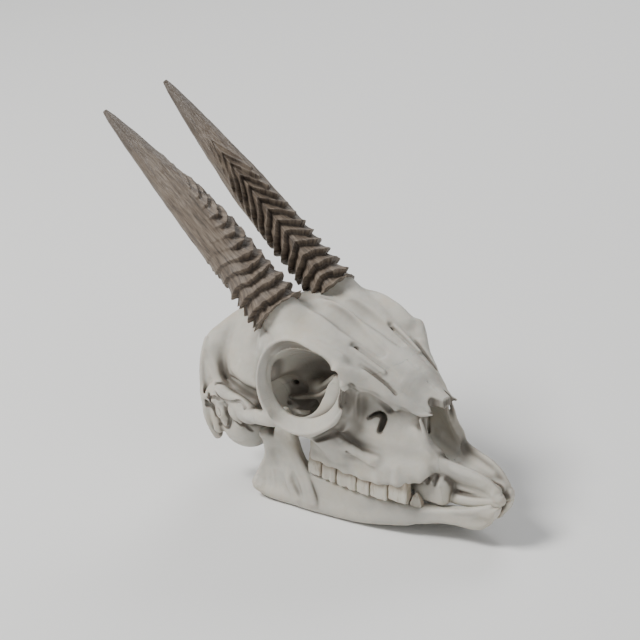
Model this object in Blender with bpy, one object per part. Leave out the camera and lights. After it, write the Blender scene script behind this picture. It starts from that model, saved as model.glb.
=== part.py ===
"""Life-size skull of a male dik-dik with its lower jaw and horn sheaths, resting on its jaw.

The bones are modelled like clay: solid forms are joined and carved with soft edges on a lattice of
signed distances, and OpenVDB, Blender's volume library, skins the result. The horn sheaths are lofted.
All sizes are millimetres in the skull's own frame: +X is the animal's left, +Y runs backwards from
the muzzle and +Z is up, with the upper tooth row level. The blocks are moved to the floor at the end.
"""

import math

import bmesh
import bpy
import numpy as np
import openvdb
from mathutils import Matrix, Vector

MM = 0.001

# Lattice of the clay
PITCH = 0.7
BLOCK_LOW = (-2.1, 4.0, -18.0)
BLOCK_HIGH = (31.0, 118.0, 54.0)
FAR = 40.0
REACH = 7.0

# Gap that touching bones keep
GAP = 0.34

# Orbit: the eye socket's rim is an oval in a plane that faces a little forwards and upwards
ORBIT = (21.2, 65.0, 26.9)
ORBIT_RIM_LONG = 12.7
ORBIT_RIM_TALL = 13.2
ORBIT_TURN = (0.0, -10.0, -10.5)
ORBIT_RIM_DENT = 1.6

# Joint head of the lower jaw: centre and radii
JAW_JOINT = (16.8, 83.2, 6.4)
JAW_JOINT_RADII = (4.0, 1.9, 1.6)

# Horns: centre of the base and tip, which differ a little from side to side, as in life
HORN_ENDS = {
    "left": ((10.4, 77.4, 42.0), (11.8, 140.9, 94.5)),
    "right": ((-12.1, 79.6, 42.8), (-12.6, 142.1, 91.6)),
}
PEDICLE = (11.6, 78.4, 42.4)
HORN_KEEL_DEG = 45.0
# Half widths of the horn towards its keel and across it, at shares of its length
HORN_AT = (0.0, 0.1, 0.33, 0.5, 0.67, 0.85, 0.96, 1.0)
HORN_WIDE = (7.0, 6.8, 6.4, 5.5, 4.2, 2.6, 1.4, 0.7)
HORN_NARROW = (6.1, 6.0, 6.0, 5.5, 4.2, 2.6, 1.4, 0.7)
# How far the middle of each horn bows outward and forward
HORN_BOW = {"left": (-0.4, -0.2), "right": (0.0, 0.8)}
HORN_RIDGES = 11
HORN_RIDGE_STEP = 4.1
HORN_RIDGE_RISE = 1.5
HORN_RIDGES_END = 0.66
HORN_SWEEP_OUTER = 5.0
HORN_SWEEP_INNER = 8.5
HORN_SWEEP_START = 13.0
HORN_PLAIN_ROWS = 9
HORN_SIDES = 16
PEDICLE_DISC = 20.0

# Cheek teeth, front to back: length along the row, depth across it and number of lobes
UPPER_TEETH = ((4.6, 3.2, 1), (5.0, 4.2, 1), (5.0, 4.8, 1), (5.8, 5.2, 2), (6.0, 5.4, 2), (6.2, 5.0, 2))
LOWER_TEETH = ((3.8, 2.4, 1), (4.8, 3.0, 1), (5.2, 3.4, 1), (5.8, 3.8, 2), (6.0, 3.8, 2), (6.8, 3.6, 2))
UPPER_ROW_FRONT = 35.3
LOWER_ROW_FRONT = 33.0
TOOTH_GAP = 0.2

# Faces to keep on the bone before the cuts and the teeth
CRANIUM_FACES = 6000
JAW_FACES = 1100

BONE = (0.70, 0.66, 0.57, 1.0)
HORN = (0.16, 0.13, 0.105, 1.0)


class Form:
    """A solid form: the box that holds its surface, and its signed distance over coordinates."""

    def __init__(self, low, high, distance):
        self.low = np.array(low, float)
        self.high = np.array(high, float)
        self.distance = distance


def turn_matrix(degrees):
    x, y, z = (math.radians(v) for v in degrees)
    turned = Matrix.Rotation(z, 3, "Z") @ Matrix.Rotation(y, 3, "Y") @ Matrix.Rotation(x, 3, "X")
    return np.array(turned)


def ellipsoid(centre, radii, turn=(0, 0, 0)):
    """An egg form. Turn is in degrees about X, then Y, then Z."""
    matrix = turn_matrix(turn)
    reach = np.sqrt(((matrix * np.array(radii)) ** 2).sum(axis=1))

    def distance(x, y, z):
        offset = (x - centre[0], y - centre[1], z - centre[2])
        local = [sum(matrix[row][col] * offset[row] for row in range(3)) for col in range(3)]
        near = np.sqrt(sum((p / r) ** 2 for p, r in zip(local, radii)))
        slope = np.sqrt(sum((p / r**2) ** 2 for p, r in zip(local, radii)))
        return near * (near - 1) / np.maximum(slope, 1e-4)

    return Form(np.array(centre) - reach, np.array(centre) + reach, distance)


def smooth_curve(points, steps=4):
    """Catmull-Rom curve through the points, any number of columns."""
    points = np.array(points, float)
    padded = np.vstack([2 * points[0] - points[1], points, 2 * points[-1] - points[-2]])
    rows = []
    for a, b, c, d in zip(padded, padded[1:], padded[2:], padded[3:]):
        for t in np.arange(steps) / steps:
            square, cube = 2 * a - 5 * b + 4 * c - d, 3 * b - a - 3 * c + d
            rows.append(0.5 * (2 * b + (c - a) * t + square * t**2 + cube * t**3))
    rows.append(points[-1])
    return np.array(rows)


def rod(points, squash=(1.0, 1.0, 1.0)):
    """A tapered rod along a smooth curve. Each point is x, y, z, radius; squash below 1 flattens an axis."""
    curve = smooth_curve(points)
    scale = np.array(squash, float)
    radius = curve[:, 3].max()
    low = curve[:, :3].min(axis=0) - radius * scale
    high = curve[:, :3].max(axis=0) + radius * scale

    def distance(x, y, z):
        best = None
        for start, end in zip(curve, curve[1:]):
            along = (end[:3] - start[:3]) / scale
            length = max(float(along @ along), 1e-9)
            offset = [(p - s) / k for p, s, k in zip((x, y, z), start[:3], scale)]
            t = np.clip(sum(o * a for o, a in zip(offset, along)) / length, 0, 1)
            gap = sum((o - t * a) ** 2 for o, a in zip(offset, along))
            found = np.sqrt(gap) - (start[3] + t * (end[3] - start[3]))
            best = found if best is None else np.minimum(best, found)
        return best * min(1.0, float(scale.min()) * 1.3)

    return Form(low, high, distance)


def block(centre, half, edge, turn=(0, 0, 0)):
    """A box with rounded edges."""
    matrix = turn_matrix(turn)
    reach = np.abs(matrix) @ np.array(half)

    def distance(x, y, z):
        offset = (x - centre[0], y - centre[1], z - centre[2])
        local = [sum(matrix[row][col] * offset[row] for row in range(3)) for col in range(3)]
        out = [np.abs(p) - h + edge for p, h in zip(local, half)]
        outside = np.sqrt(sum(np.maximum(o, 0) ** 2 for o in out))
        inside = np.minimum(np.maximum(np.maximum(out[0], out[1]), out[2]), 0)
        return outside + inside - edge

    return Form(np.array(centre) - reach, np.array(centre) + reach, distance)


def ring(centre, long, tall, tube, turn, dent=0.0):
    """An oval ring round the local X axis. Tube is its radius at the front, top, back and bottom.

    Dent is how far the ring is pressed in between its front and its top.
    """
    matrix = turn_matrix(turn)
    front, top, back, bottom = tube
    radius = (long + tall) / 2
    reach = tall + max(tube)

    def distance(x, y, z):
        offset = (x - centre[0], y - centre[1], z - centre[2])
        across, along, upward = (sum(matrix[row][col] * offset[row] for row in range(3)) for col in range(3))
        along, upward = along * radius / long, upward * radius / tall
        around = np.sqrt(along**2 + upward**2) + 1e-6
        cos, sin = along / around, upward / around
        thick = (
            np.maximum(-cos, 0) ** 2 * front
            + np.maximum(cos, 0) ** 2 * back
            + np.maximum(sin, 0) ** 2 * top
            + np.maximum(-sin, 0) ** 2 * bottom
        )
        pressed = radius - dent * np.maximum(0.76 * sin - 0.65 * cos, 0) ** 8
        return np.sqrt(across**2 + (around - pressed) ** 2) - thick

    return Form(np.array(centre) - reach, np.array(centre) + reach, distance)


def loft(stations, power=2.0, edge=1.5):
    """A body along Y. Each station is y, centre height, half width and half height of its section."""
    curve = smooth_curve(stations)
    y_line, height_line, wide_line, tall_line = curve.T
    low = (-wide_line.max(), y_line[0], (height_line - tall_line).min())
    high = (wide_line.max(), y_line[-1], (height_line + tall_line).max())

    def distance(x, y, z):
        middle = np.interp(y, y_line, height_line)
        wide = np.interp(y, y_line, wide_line)
        tall = np.interp(y, y_line, tall_line)
        across, upward = np.abs(x) / wide, np.abs(z - middle) / tall
        near = (across**power + upward**power) ** (1 / power)
        slope = np.sqrt((across / wide) ** 2 + (upward / tall) ** 2) + 1e-4
        section = (near - 1) * np.minimum(near / slope, np.maximum(wide, tall))
        ends = np.maximum(y_line[0] - y, y - y_line[-1])
        return smooth_max(section, ends, edge)

    return Form(low, high, distance)


def polygon_distance(outline, y, z):
    """Signed distance to a closed outline in the YZ plane, negative inside."""
    nearest = np.full(np.broadcast(y, z).shape, FAR**2, np.float32)
    inside = np.zeros(nearest.shape, bool)
    for start, end in zip(outline, np.roll(outline, -1, axis=0)):
        edge_y, edge_z = end - start
        length = edge_y**2 + edge_z**2 + 1e-9
        t = np.clip(((y - start[0]) * edge_y + (z - start[1]) * edge_z) / length, 0, 1)
        gap = (y - start[0] - t * edge_y) ** 2 + (z - start[1] - t * edge_z) ** 2
        nearest = np.minimum(nearest, gap)
        crosses = (start[1] > z) != (end[1] > z)
        where = start[0] + (z - start[1]) * edge_y / (edge_z if abs(edge_z) > 1e-9 else 1e-9)
        inside ^= crosses & (y < where)
    return np.where(inside, -1, 1) * np.sqrt(nearest)


def plate(outline, middle, half, edge=1.0):
    """A plate with this side outline. Middle and half give its X and half thickness over Y and Z."""
    closed = smooth_curve(np.vstack([outline, outline[:1]]), 3)[:-1]
    low = (0.0, *closed.min(axis=0))
    high = (30.0, *closed.max(axis=0))

    def distance(x, y, z):
        flat = polygon_distance(closed, y, z)
        thick = np.abs(x - middle(y, z)) - half(y, z)
        a, b = flat + edge, thick + edge
        return np.sqrt(np.maximum(a, 0) ** 2 + np.maximum(b, 0) ** 2) + np.minimum(np.maximum(a, b), 0) - edge

    return Form(low, high, distance)


def smooth_min(a, b, blend):
    if blend <= 0:
        return np.minimum(a, b)
    near = np.maximum(blend - np.abs(a - b), 0) / blend
    return np.minimum(a, b) - near * near * blend / 4


def smooth_max(a, b, blend):
    return -smooth_min(-a, -b, blend)


class Clay:
    """Signed distances on a lattice over the left half of the head, X from just below 0."""

    def __init__(self, low=BLOCK_LOW, high=BLOCK_HIGH, pitch=PITCH):
        self.pitch = pitch
        counts = [math.ceil((end - start) / pitch) + 1 for start, end in zip(low, high)]
        self.axes = [(a + pitch * np.arange(count)).astype(np.float32) for a, count in zip(low, counts)]
        self.field = np.full([len(line) for line in self.axes], FAR, np.float32)

    def window(self, form):
        spans = [
            slice(*np.searchsorted(line, (low - REACH, high + REACH)))
            for line, low, high in zip(self.axes, form.low, form.high)
        ]
        return tuple(spans), np.ix_(*[line[span] for line, span in zip(self.axes, spans)])

    def add(self, form, blend=1.0):
        spans, grid = self.window(form)
        self.field[spans] = smooth_min(self.field[spans], form.distance(*grid), blend)

    def cut(self, form, blend=1.0):
        spans, grid = self.window(form)
        self.field[spans] = smooth_max(self.field[spans], -form.distance(*grid), blend)

    def part(self, *limits):
        """A copy that keeps only what is inside every limit, each a function of x, y and z."""
        piece = Clay.__new__(Clay)
        piece.pitch, piece.axes = self.pitch, self.axes
        grid = np.ix_(*self.axes)
        piece.field = self.field
        for limit in limits:
            piece.field = np.maximum(piece.field, limit(*grid)).astype(np.float32)
        return piece


def along_y(*pairs):
    """A function of y, straight between the given (y, value) pairs."""
    places, values = zip(*pairs)
    return lambda y, z=0: np.interp(y, places, values)


# Outer walls of the two rows of teeth, and the height of the upper teeth's outer edge
UPPER_WALL = along_y((30, 12.6), (45, 15.2), (58, 16.4), (70, 16.8))
LOWER_WALL = along_y((28, 9.0), (40, 11.2), (52, 12.4), (64, 13.0), (70, 13.2))
BITE = along_y((32, -2.6), (42, -3.6), (52, -3.0), (60, -2.0), (67, -1.0))

# Cranium

MUZZLE = (
    (27.0, 15.0, 3.6, 8.6),
    (33.0, 16.4, 5.4, 9.4),
    (41.0, 18.8, 7.8, 11.4),
    (50.0, 21.6, 10.6, 13.2),
    (60.0, 24.6, 13.4, 14.4),
    (68.0, 27.0, 15.0, 15.0),
)
CHEEK = (
    (30.0, 9.0, 8.0, 5.2),
    (40.0, 10.4, 11.8, 7.2),
    (50.0, 11.8, 14.6, 8.4),
    (60.0, 12.0, 16.6, 8.0),
    (67.0, 11.0, 16.4, 6.0),
)
FOREHEAD = (
    (40.0, 26.0, 5.6, 3.2),
    (46.0, 28.2, 9.0, 4.2),
    (52.0, 30.4, 14.0, 5.0),
    (58.0, 33.0, 18.6, 6.0),
    (66.0, 35.0, 20.8, 6.6),
    (74.0, 35.6, 21.2, 6.8),
    (80.0, 34.8, 19.8, 7.4),
    (85.0, 33.6, 16.0, 8.4),
)


def add_braincase(clay):
    clay.add(ellipsoid((0, 87.6, 22.6), (18.6, 18.4, 18.6)), 0)
    crest = [(0, 101.5, 33.0, 2.4), (8, 102.8, 31.6, 2.2), (14.4, 103.8, 27.8, 1.8), (17.0, 104, 22, 2.0)]
    clay.add(rod(crest + [(17.6, 102, 14, 2.4)]), 4)
    # Crest from the nape down to the root of the cheek arch
    crest = [(15.6, 103.6, 26.6, 1.5), (18.2, 99, 19.6, 1.7), (19.0, 93, 16.0, 2.0), (19.2, 86, 14.4, 2.0)]
    clay.add(rod(crest), 2)
    clay.add(block((0, 102.6, 19), (15.6, 3.4, 12.4), 3.0), 4)
    clay.add(rod([(0, 107, 8, 5.0), (0, 92, 7, 5.4), (0, 78, 8.5, 4.8), (0, 66, 10, 4.2)]), 3)
    # Occipital condyles either side of the great foramen
    clay.add(ellipsoid((5.8, 108.2, 7.6), (3.9, 4.4, 5.4), (0, 0, 12)), 2)
    # Crest of the nape, in the middle
    clay.add(rod([(0, 102.6, 34, 1.6), (0, 105.6, 27, 1.4), (0, 106.0, 20, 1.0)]), 2)


def add_ear_region(clay):
    clay.add(ellipsoid((13.2, 92.8, 5.6), (6.2, 8.0, 7.6), (0, 0, -12)), 1.5)
    clay.add(rod([(17.2, 103, 14, 3.4), (16.4, 104.0, 6, 2.6), (14.8, 103.6, -0.6, 1.7)], (1, 0.8, 1)), 2)
    clay.add(rod([(14.0, 94.5, 8.5, 2.6), (19.2, 96.5, 10.6, 2.5)]), 1.5)
    clay.add(ellipsoid((18.2, 98.5, 15.2), (3.2, 5.0, 3.6)), 1.5)
    clay.add(rod([(17.4, 100.8, 10, 2.0), (17.2, 100.6, 3.2, 1.6)]), 1)


def add_forehead(clay):
    clay.add(loft(FOREHEAD, 2.3, 3), 5)
    clay.add(rod([(11.0, 67, 33.4, 6.4), (11.4, 73.4, 37.6, 6.2), PEDICLE + (6.1,), (11.6, 84, 47.0, 6.0)]), 4)
    # Dome between the horns
    clay.add(ellipsoid((0, 74, 35.8), (10, 12, 7.6), (-14, 0, 0)), 5)


def add_face(clay):
    clay.add(loft(MUZZLE, 2.5, 2), 4)
    clay.add(loft(CHEEK, 3.2, 2), 4)
    # Bulge that holds the roots of the cheek teeth
    roots = [(8.8, 33.8, 4.6, 3.0), (11.8, 42, 5.0, 3.4), (13.2, 54, 5.8, 3.6), (13.6, 62.8, 7.2, 3.6)]
    clay.add(rod(roots, (0.9, 1, 1)), 3)
    # Pillar from the tooth bulge up to the front of the eye socket
    clay.add(rod([(16.6, 57, 9, 3.4), (19.0, 60, 13, 3.0), (21.0, 62, 14.6, 2.2)]), 3)
    # Ledge from the eye socket to the nasal bone
    ledge = [(18.4, 54.0, 34.2, 1.8), (12.4, 47.2, 28.8, 1.9), (8.2, 40.6, 24.8, 1.8), (4.9, 34.2, 21.8, 1.2)]
    clay.add(rod(ledge), 2.5)
    # Blade behind the palate
    clay.add(rod([(5.6, 66, 9, 2.2), (5.8, 74, 6, 1.5), (6.4, 81, 3.6, 1.3)], (0.8, 1, 1.8)), 1.5)


def add_cheek_arch(clay):
    arch = [(17.0, 93, 14.4, 2.6), (20.4, 87.5, 13.8, 2.2), (23.0, 80.5, 14.8, 1.9), (24.4, 73.5, 16.6, 2.0)]
    clay.add(rod(arch, (0.85, 1, 1.25)), 2)
    clay.add(ellipsoid((17.4, 86.6, 11.6), (4.6, 4.2, 2.4)), 1.5)


def add_premaxilla(clay):
    edge = [(5.8, 34, 12.0, 2.4), (5.0, 28.6, 7.6, 2.1), (4.2, 21.5, 5.6, 1.9), (3.2, 15.0, 3.8, 1.8)]
    clay.add(rod(edge + [(2.5, 11.6, 2.6, 1.6)], (0.8, 1, 1.2)), 1.5)
    palate = [(4.2, 34, 1.2, 3.4), (3.4, 29, 0.6, 2.8), (3.0, 22, 0.6, 1.7), (2.5, 13.5, 1.2, 1.5)]
    clay.add(rod(palate, (1, 1, 0.9)), 1.5)
    clay.add(rod([(2.6, 12.2, 2.4, 1.8), (2.4, 10.9, 0.6, 1.4)]), 1)


def carve_nose(clay):
    """Opens the nose under the nasal bones."""
    opening = [(34.0, 21.3), (33.2, 15), (28.8, 10.6), (21.0, 8.6), (6, 6.5), (6, 24), (26, 20.6), (30, 20.8)]
    clay.cut(plate(np.array(opening), along_y((0, 0)), along_y((0, 16)), 0.4), 1.0)
    cavity = ((22, 10.4, 2.8, 4.2), (29, 13.2, 3.9, 6.8), (36, 15.4, 4.8, 6.8), (43, 17.4, 4.0, 5.4))
    clay.cut(loft(cavity, 2.3, 2), 1.2)
    # Notch between the middle and the side points of each nasal bone
    clay.cut(rod([(3.4, 25.5, 22.5, 1.4), (3.3, 31.0, 23.6, 1.0)], (1, 1, 4)), 0.5)


def carve_eye_socket(clay):
    x, y, z = ORBIT
    # Wall in front of the socket
    clay.add(ellipsoid((16.6, 53.8, 24.0), (4.4, 3.6, 9.0), (0, -6, -10)), 3)
    clay.cut(ellipsoid((x - 0.6, y, z - 0.6), (16.2, 12.3, 12.2), (0, -16, -10)), 1.5)
    clay.cut(ellipsoid((x - 7.4, y + 9, z - 9), (7.0, 9.0, 7.0)), 2)
    # Way for the temple muscle behind the socket
    clay.cut(rod([(19.6, 79.5, 27, 3.0), (20.2, 80.5, 19, 3.4), (19.2, 78, 8, 4.0)]), 2)
    # Bulge low in the inner wall
    clay.add(ellipsoid((7.6, 64.0, 20.6), (4.0, 8.5, 5.2), (12, 0, -8)), 4)


def add_socket_rim(clay):
    """The rim is thin above and broad below, with a flange inside its front and bottom."""
    front, top, back, bottom = 2.2, 1.4, 1.6, 2.4
    tube = (front, top, back, bottom)
    clay.add(ring(ORBIT, ORBIT_RIM_LONG, ORBIT_RIM_TALL, tube, ORBIT_TURN, ORBIT_RIM_DENT), 1.5)
    x, y, z = ORBIT
    flange = ring((x - 3.8, y + 0.8, z + 0.6), 11.6, 11.4, (1.9, -3.0, -2.0, 1.7), ORBIT_TURN)
    clay.add(flange, 2)
    # Roof of the socket
    clay.add(rod([(15.4, 56, 35.6, 1.4), (17.0, 61, 38.0, 1.4), (17.2, 67, 39.0, 1.5), (16.6, 74, 38.4, 1.8)]), 3)


def carve_face(clay):
    # Pit of the scent gland in front of the eye
    clay.cut(ellipsoid((18.6, 44.4, 22.0), (6.4, 7.2, 6.4), (24, 0, 20)), 2.5)
    clay.cut(ellipsoid((15.0, 47.4, 24.8), (4.6, 3.6, 3.0), (26, 0, 20)), 1.5)
    # Hole of the cheek nerve
    clay.cut(rod([(15.0, 44.6, 17.6, 1.2), (10.0, 46.5, 18.4, 1.0)]), 0.6)
    # Cheek ridge above the molars
    clay.add(rod([(17.8, 57.5, 12.6, 1.0), (17.0, 51.5, 10.0, 1.1), (14.8, 44.5, 8.2, 0.9)]), 2.2)


def carve_forehead(clay):
    # Long hollows either side of the middle
    hollow = [(3.8, 74, 46.0, 2.2), (4.0, 66, 43.5, 2.6), (4.4, 57, 39.6, 2.2), (4.4, 50, 35.6, 1.2)]
    clay.cut(rod(hollow, (1.2, 1, 1)), 2)
    # Holes above the eyes, each with a furrow towards the nose
    clay.cut(rod([(8.6, 56.4, 36.4, 1.2), (8.4, 58.5, 32.5, 1.0)]), 0.5)
    clay.cut(rod([(8.6, 56.4, 37.6, 1.3), (8.0, 50, 35.0, 1.3), (6.6, 42, 30.6, 0.9)]), 1)


def carve_temples(clay):
    """Trough above the root of the cheek arch."""
    clay.cut(rod([(21.8, 97.5, 22.0, 2.6), (21.6, 91, 19.4, 2.8), (21.2, 85, 19.4, 3.0)]), 3)


def carve_nape(clay):
    clay.cut(rod([(0, 112, 11.4, 4.2), (0, 103, 12.4, 3.8)]), 1)
    clay.cut(ellipsoid((9.5, 109.5, 22), (6.4, 3.4, 7.5)), 2)
    # Ear hole
    clay.cut(rod([(23, 97.6, 11, 1.3), (16.5, 96, 10, 1.1)]), 0.5)


def carve_jaw_joint(clay):
    """Room for the lower jaw's joint head and neck."""
    clay.cut(ellipsoid(JAW_JOINT, [radius + 0.9 for radius in JAW_JOINT_RADII]), 0.6)
    x, y, z = JAW_JOINT
    clay.cut(rod([(x, y - 0.6, z, 2.6), (x - 0.2, y - 1.2, z - 7, 2.8)]), 0.6)


def model_cranium():
    clay = Clay()
    add_braincase(clay)
    add_ear_region(clay)
    add_face(clay)
    add_forehead(clay)
    carve_eye_socket(clay)
    add_cheek_arch(clay)
    carve_face(clay)
    add_socket_rim(clay)
    carve_forehead(clay)
    carve_nose(clay)
    add_premaxilla(clay)
    carve_temples(clay)
    carve_nape(clay)
    carve_jaw_joint(clay)
    return clay


# Lower jaw

JAW_OUTLINE = (
    (11.4, -1.4),
    (12.0, -4.6),
    (16.0, -8.3),
    (27.0, -9.6),
    (38.0, -11.8),
    (51.0, -13.8),
    (62.0, -14.4),
    (78.0, -14.4),
    (86.0, -13.6),
    (88.2, -11.0),
    (86.0, -5.0),
    (83.6, 0.0),
    (84.4, 6.0),
    (82.6, 7.6),
    (79.6, 6.4),
    (78.4, 13.0),
    (77.4, 19.5),
    (74.4, 20.5),
    (73.8, 12.0),
    (72.4, 4.0),
    (69.6, -1.6),
    (60.0, -3.0),
    (46.0, -4.6),
    (34.0, -4.4),
    (24.0, -4.2),
    (16.0, -2.0),
)
JAW_MIDDLE = along_y((10, 2.9), (16, 3.8), (27, 6.2), (38, 9.6), (51, 11.9), (62, 13.2), (72, 14.6), (82, 16.4))
JAW_HALF = along_y((10, 2.0), (18, 2.3), (30, 2.4), (45, 3.0), (62, 3.0), (70, 2.2), (76, 1.4), (90, 1.4))


def model_jaw():
    clay = Clay((-2.1, 4.0, -18.0), (26.0, 96.0, 27.0))
    clay.add(plate(np.array(JAW_OUTLINE), JAW_MIDDLE, JAW_HALF, 1.3), 0)
    # Joint head under the root of the cheek arch
    clay.add(ellipsoid(JAW_JOINT, JAW_JOINT_RADII), 1.5)
    # Thick lower border
    border = [(9.6, 38, -9.6, 2.2), (12.2, 51, -11.8, 2.4), (14.2, 64, -12.2, 2.1), (16.2, 78, -12.3, 1.9)]
    clay.add(rod(border + [(17.4, 86, -10.6, 1.8)]), 2)
    # Ridge that bounds the chewing muscle
    clay.add(rod([(15.8, 73, 2.6, 1.0), (16.6, 75, -6, 1.0), (17.0, 71.5, -11.4, 1.3)]), 1.5)
    clay.cut(ellipsoid((20.0, 81.0, -5.4), (3.4, 4.6, 5.8)), 1.5)
    # Outlet of the jaw nerve
    clay.cut(rod([(9.4, 22.5, -5.4, 0.9), (5.4, 24.5, -5.8, 0.8)]), 0.5)
    return clay


# Skins

def remove_loose(mesh):
    """Keeps only the largest closed surface."""
    body = bmesh.new()
    body.from_mesh(mesh)
    body.verts.ensure_lookup_table()
    seen = set()
    shells = []
    for vertex in body.verts:
        if vertex in seen:
            continue
        seen.add(vertex)
        shell = [vertex]
        for member in shell:
            for edge in member.link_edges:
                other = edge.other_vert(member)
                if other not in seen:
                    seen.add(other)
                    shell.append(other)
        shells.append(shell)
    shells.sort(key=len)
    for shell in shells[:-1]:
        bmesh.ops.delete(body, geom=shell, context="VERTS")
    body.to_mesh(mesh)
    body.free()


def new_object(name, points, faces, material):
    mesh = bpy.data.meshes.new(name)
    mesh.from_pydata([tuple(map(float, p)) for p in points], [], [tuple(map(int, f)) for f in faces])
    mesh.materials.append(material)
    thing = bpy.data.objects.new(name, mesh)
    bpy.context.scene.collection.objects.link(thing)
    return thing


def apply_modifiers(thing):
    evaluated = thing.evaluated_get(bpy.context.evaluated_depsgraph_get())
    mesh = bpy.data.meshes.new_from_object(evaluated)
    thing.modifiers.clear()
    thing.data = mesh


def skin(clay, name, material, faces, mirrored):
    """The clay's surface as a closed mesh of about this many triangles, in millimetres."""
    start = np.searchsorted(clay.axes[0], -1e-4)
    field = clay.field
    low = np.array([line[0] for line in clay.axes])
    if mirrored:
        half = field[start:]
        field = np.concatenate([half[:0:-1], half])
        low[0] = -clay.axes[0][-1]
    field = np.pad(field, 1, constant_values=3 * clay.pitch)
    low -= clay.pitch
    grid = openvdb.FloatGrid(background=3 * clay.pitch)
    grid.copyFromArray(np.clip(field, -3 * clay.pitch, 3 * clay.pitch).astype(np.float32))
    points, triangles, quads = grid.convertToPolygons(isovalue=0.0, adaptivity=0.0)
    points = points * clay.pitch + low
    thing = new_object(name, points, [f[::-1] for f in quads] + [f[::-1] for f in triangles], material)
    remove_loose(thing.data)
    thing.modifiers.new("soften", "SMOOTH").iterations = 2
    reduce = thing.modifiers.new("reduce", "DECIMATE")
    reduce.ratio = min(1.0, faces / (2 * len(thing.data.polygons)))
    apply_modifiers(thing)
    return thing


# Cuts and joins

CUTTER_SIZE = 200.0


def boolean(thing, cutter, operation):
    cut = thing.modifiers.new("cut", "BOOLEAN")
    cut.operation = operation
    cut.object = cutter
    apply_modifiers(thing)
    bpy.data.objects.remove(cutter)
    remove_loose(thing.data)


def half_space(point, normal):
    """A large box with one face on the plane, on the side that the normal points to."""
    normal = Vector(normal).normalized()
    box = new_object("cutter", [], [], bpy.data.materials[0])
    body = bmesh.new()
    bmesh.ops.create_cube(body, size=CUTTER_SIZE)
    turned = normal.to_track_quat("Z", "Y").to_matrix().to_4x4()
    centre = Vector(point) + normal * CUTTER_SIZE / 2
    bmesh.ops.transform(body, matrix=Matrix.Translation(centre) @ turned, verts=body.verts)
    body.to_mesh(box.data)
    body.free()
    return box


def keep_side(thing, name, point, normal):
    """A copy of the part of the object that lies half a gap beyond the plane."""
    piece = bpy.data.objects.new(name, thing.data.copy())
    bpy.context.scene.collection.objects.link(piece)
    inset = Vector(point) + Vector(normal).normalized() * GAP / 2
    boolean(piece, half_space(inset, normal), "INTERSECT")
    return piece


def split(thing, ahead, behind, point, normal):
    """Parts the object by a thin cut into the piece that the normal points to and the other."""
    pair = keep_side(thing, ahead, point, normal), keep_side(thing, behind, point, -Vector(normal))
    bpy.data.objects.remove(thing)
    return pair


def mirrored_copy(thing, name):
    copy = bpy.data.objects.new(name, thing.data.copy())
    bpy.context.scene.collection.objects.link(copy)
    copy.data.transform(Matrix.Scale(-1, 4, (1, 0, 0)))
    copy.data.flip_normals()
    return copy


def split_corner(thing, corner, rest, first, second):
    """Parts the object by two thin cuts: the corner lies on the side that both normals point to."""
    (point, normal), (other_point, other_normal) = first, second
    half = keep_side(thing, "half", point, normal)
    piece = keep_side(half, corner, other_point, other_normal)
    cutter = half_space(Vector(point) - Vector(normal).normalized() * GAP / 2, normal)
    outset = Vector(other_point) - Vector(other_normal).normalized() * GAP / 2
    boolean(cutter, half_space(outset, other_normal), "INTERSECT")
    remaining = bpy.data.objects.new(rest, thing.data.copy())
    bpy.context.scene.collection.objects.link(remaining)
    boolean(remaining, cutter, "DIFFERENCE")
    bpy.data.objects.remove(half)
    bpy.data.objects.remove(thing)
    return piece, remaining


# Cuts along the sutures: a point on each plane and the way that its normal points
BACK_CUT = ((0, 84.0, 30.0), (0, 1, -0.26))
BROW_CUT = ((0, 51.0, 30.5), (0, 0.34, 0.94))
NOSE_CUT = ((0, 46.0, 26.0), (0, -0.46, 0.89))
NOSE_SIDE_CUT = ((6.7, 36.0, 20.0), (-0.96, 0.28, 0))
SNOUT_CUT = ((0, 28.6, 7.0), (0, -0.92, 0.12))
MIDDLE_CUT = ((0, 0, 0), (1, 0, 0))


def build_cranium(bone):
    whole = skin(model_cranium(), "cranium", bone, CRANIUM_FACES, True)
    for side in HORN_ENDS:
        boolean(whole, pedicle_cutter(side), "DIFFERENCE")
    front, braincase = split(whole, "front", "braincase", BACK_CUT[0], -Vector(BACK_CUT[1]))
    frontal, face = split(front, "frontal", "face", *BROW_CUT)
    left = keep_side(face, "left", *MIDDLE_CUT)
    bpy.data.objects.remove(face)
    snout, left = split(left, "premaxilla_left", "left", *SNOUT_CUT)
    nasal, left = split_corner(left, "nasal_left", "maxilla_left", NOSE_CUT, NOSE_SIDE_CUT)
    join_teeth(left, upper_teeth(bone))
    halves = [left, nasal, snout]
    others = [mirrored_copy(half, half.name.replace("left", "right")) for half in halves]
    return [braincase, frontal] + halves + others


# Horns

def horn_axes(side):
    """Unit vectors of a horn: along it, towards its keel, and across both."""
    base, tip = (Vector(end) for end in HORN_ENDS[side])
    along = (tip - base).normalized()
    outward = Vector((math.copysign(1, base.x), 0, 0))
    outward = (outward - along * outward.dot(along)).normalized()
    forward = Vector((0, -along.z, along.y)).normalized()
    turn = math.radians(HORN_KEEL_DEG)
    keel = forward * math.cos(turn) - outward * math.sin(turn)
    return along, keel, forward * math.sin(turn) + outward * math.cos(turn)


def pedicle_cutter(side):
    """A disc that trims the bony core flat under the horn sheath."""
    along = horn_axes(side)[0]
    centre = Vector(HORN_ENDS[side][0]) + along * (PEDICLE_DISC / 2 - GAP)
    disc = new_object("cutter", [], [], bpy.data.materials[0])
    body = bmesh.new()
    bmesh.ops.create_cone(body, cap_ends=True, segments=24, radius1=11, radius2=11, depth=PEDICLE_DISC)
    turned = along.to_track_quat("Z", "Y").to_matrix().to_4x4()
    bmesh.ops.transform(body, matrix=Matrix.Translation(centre) @ turned, verts=body.verts)
    body.to_mesh(disc.data)
    body.free()
    return disc


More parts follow.
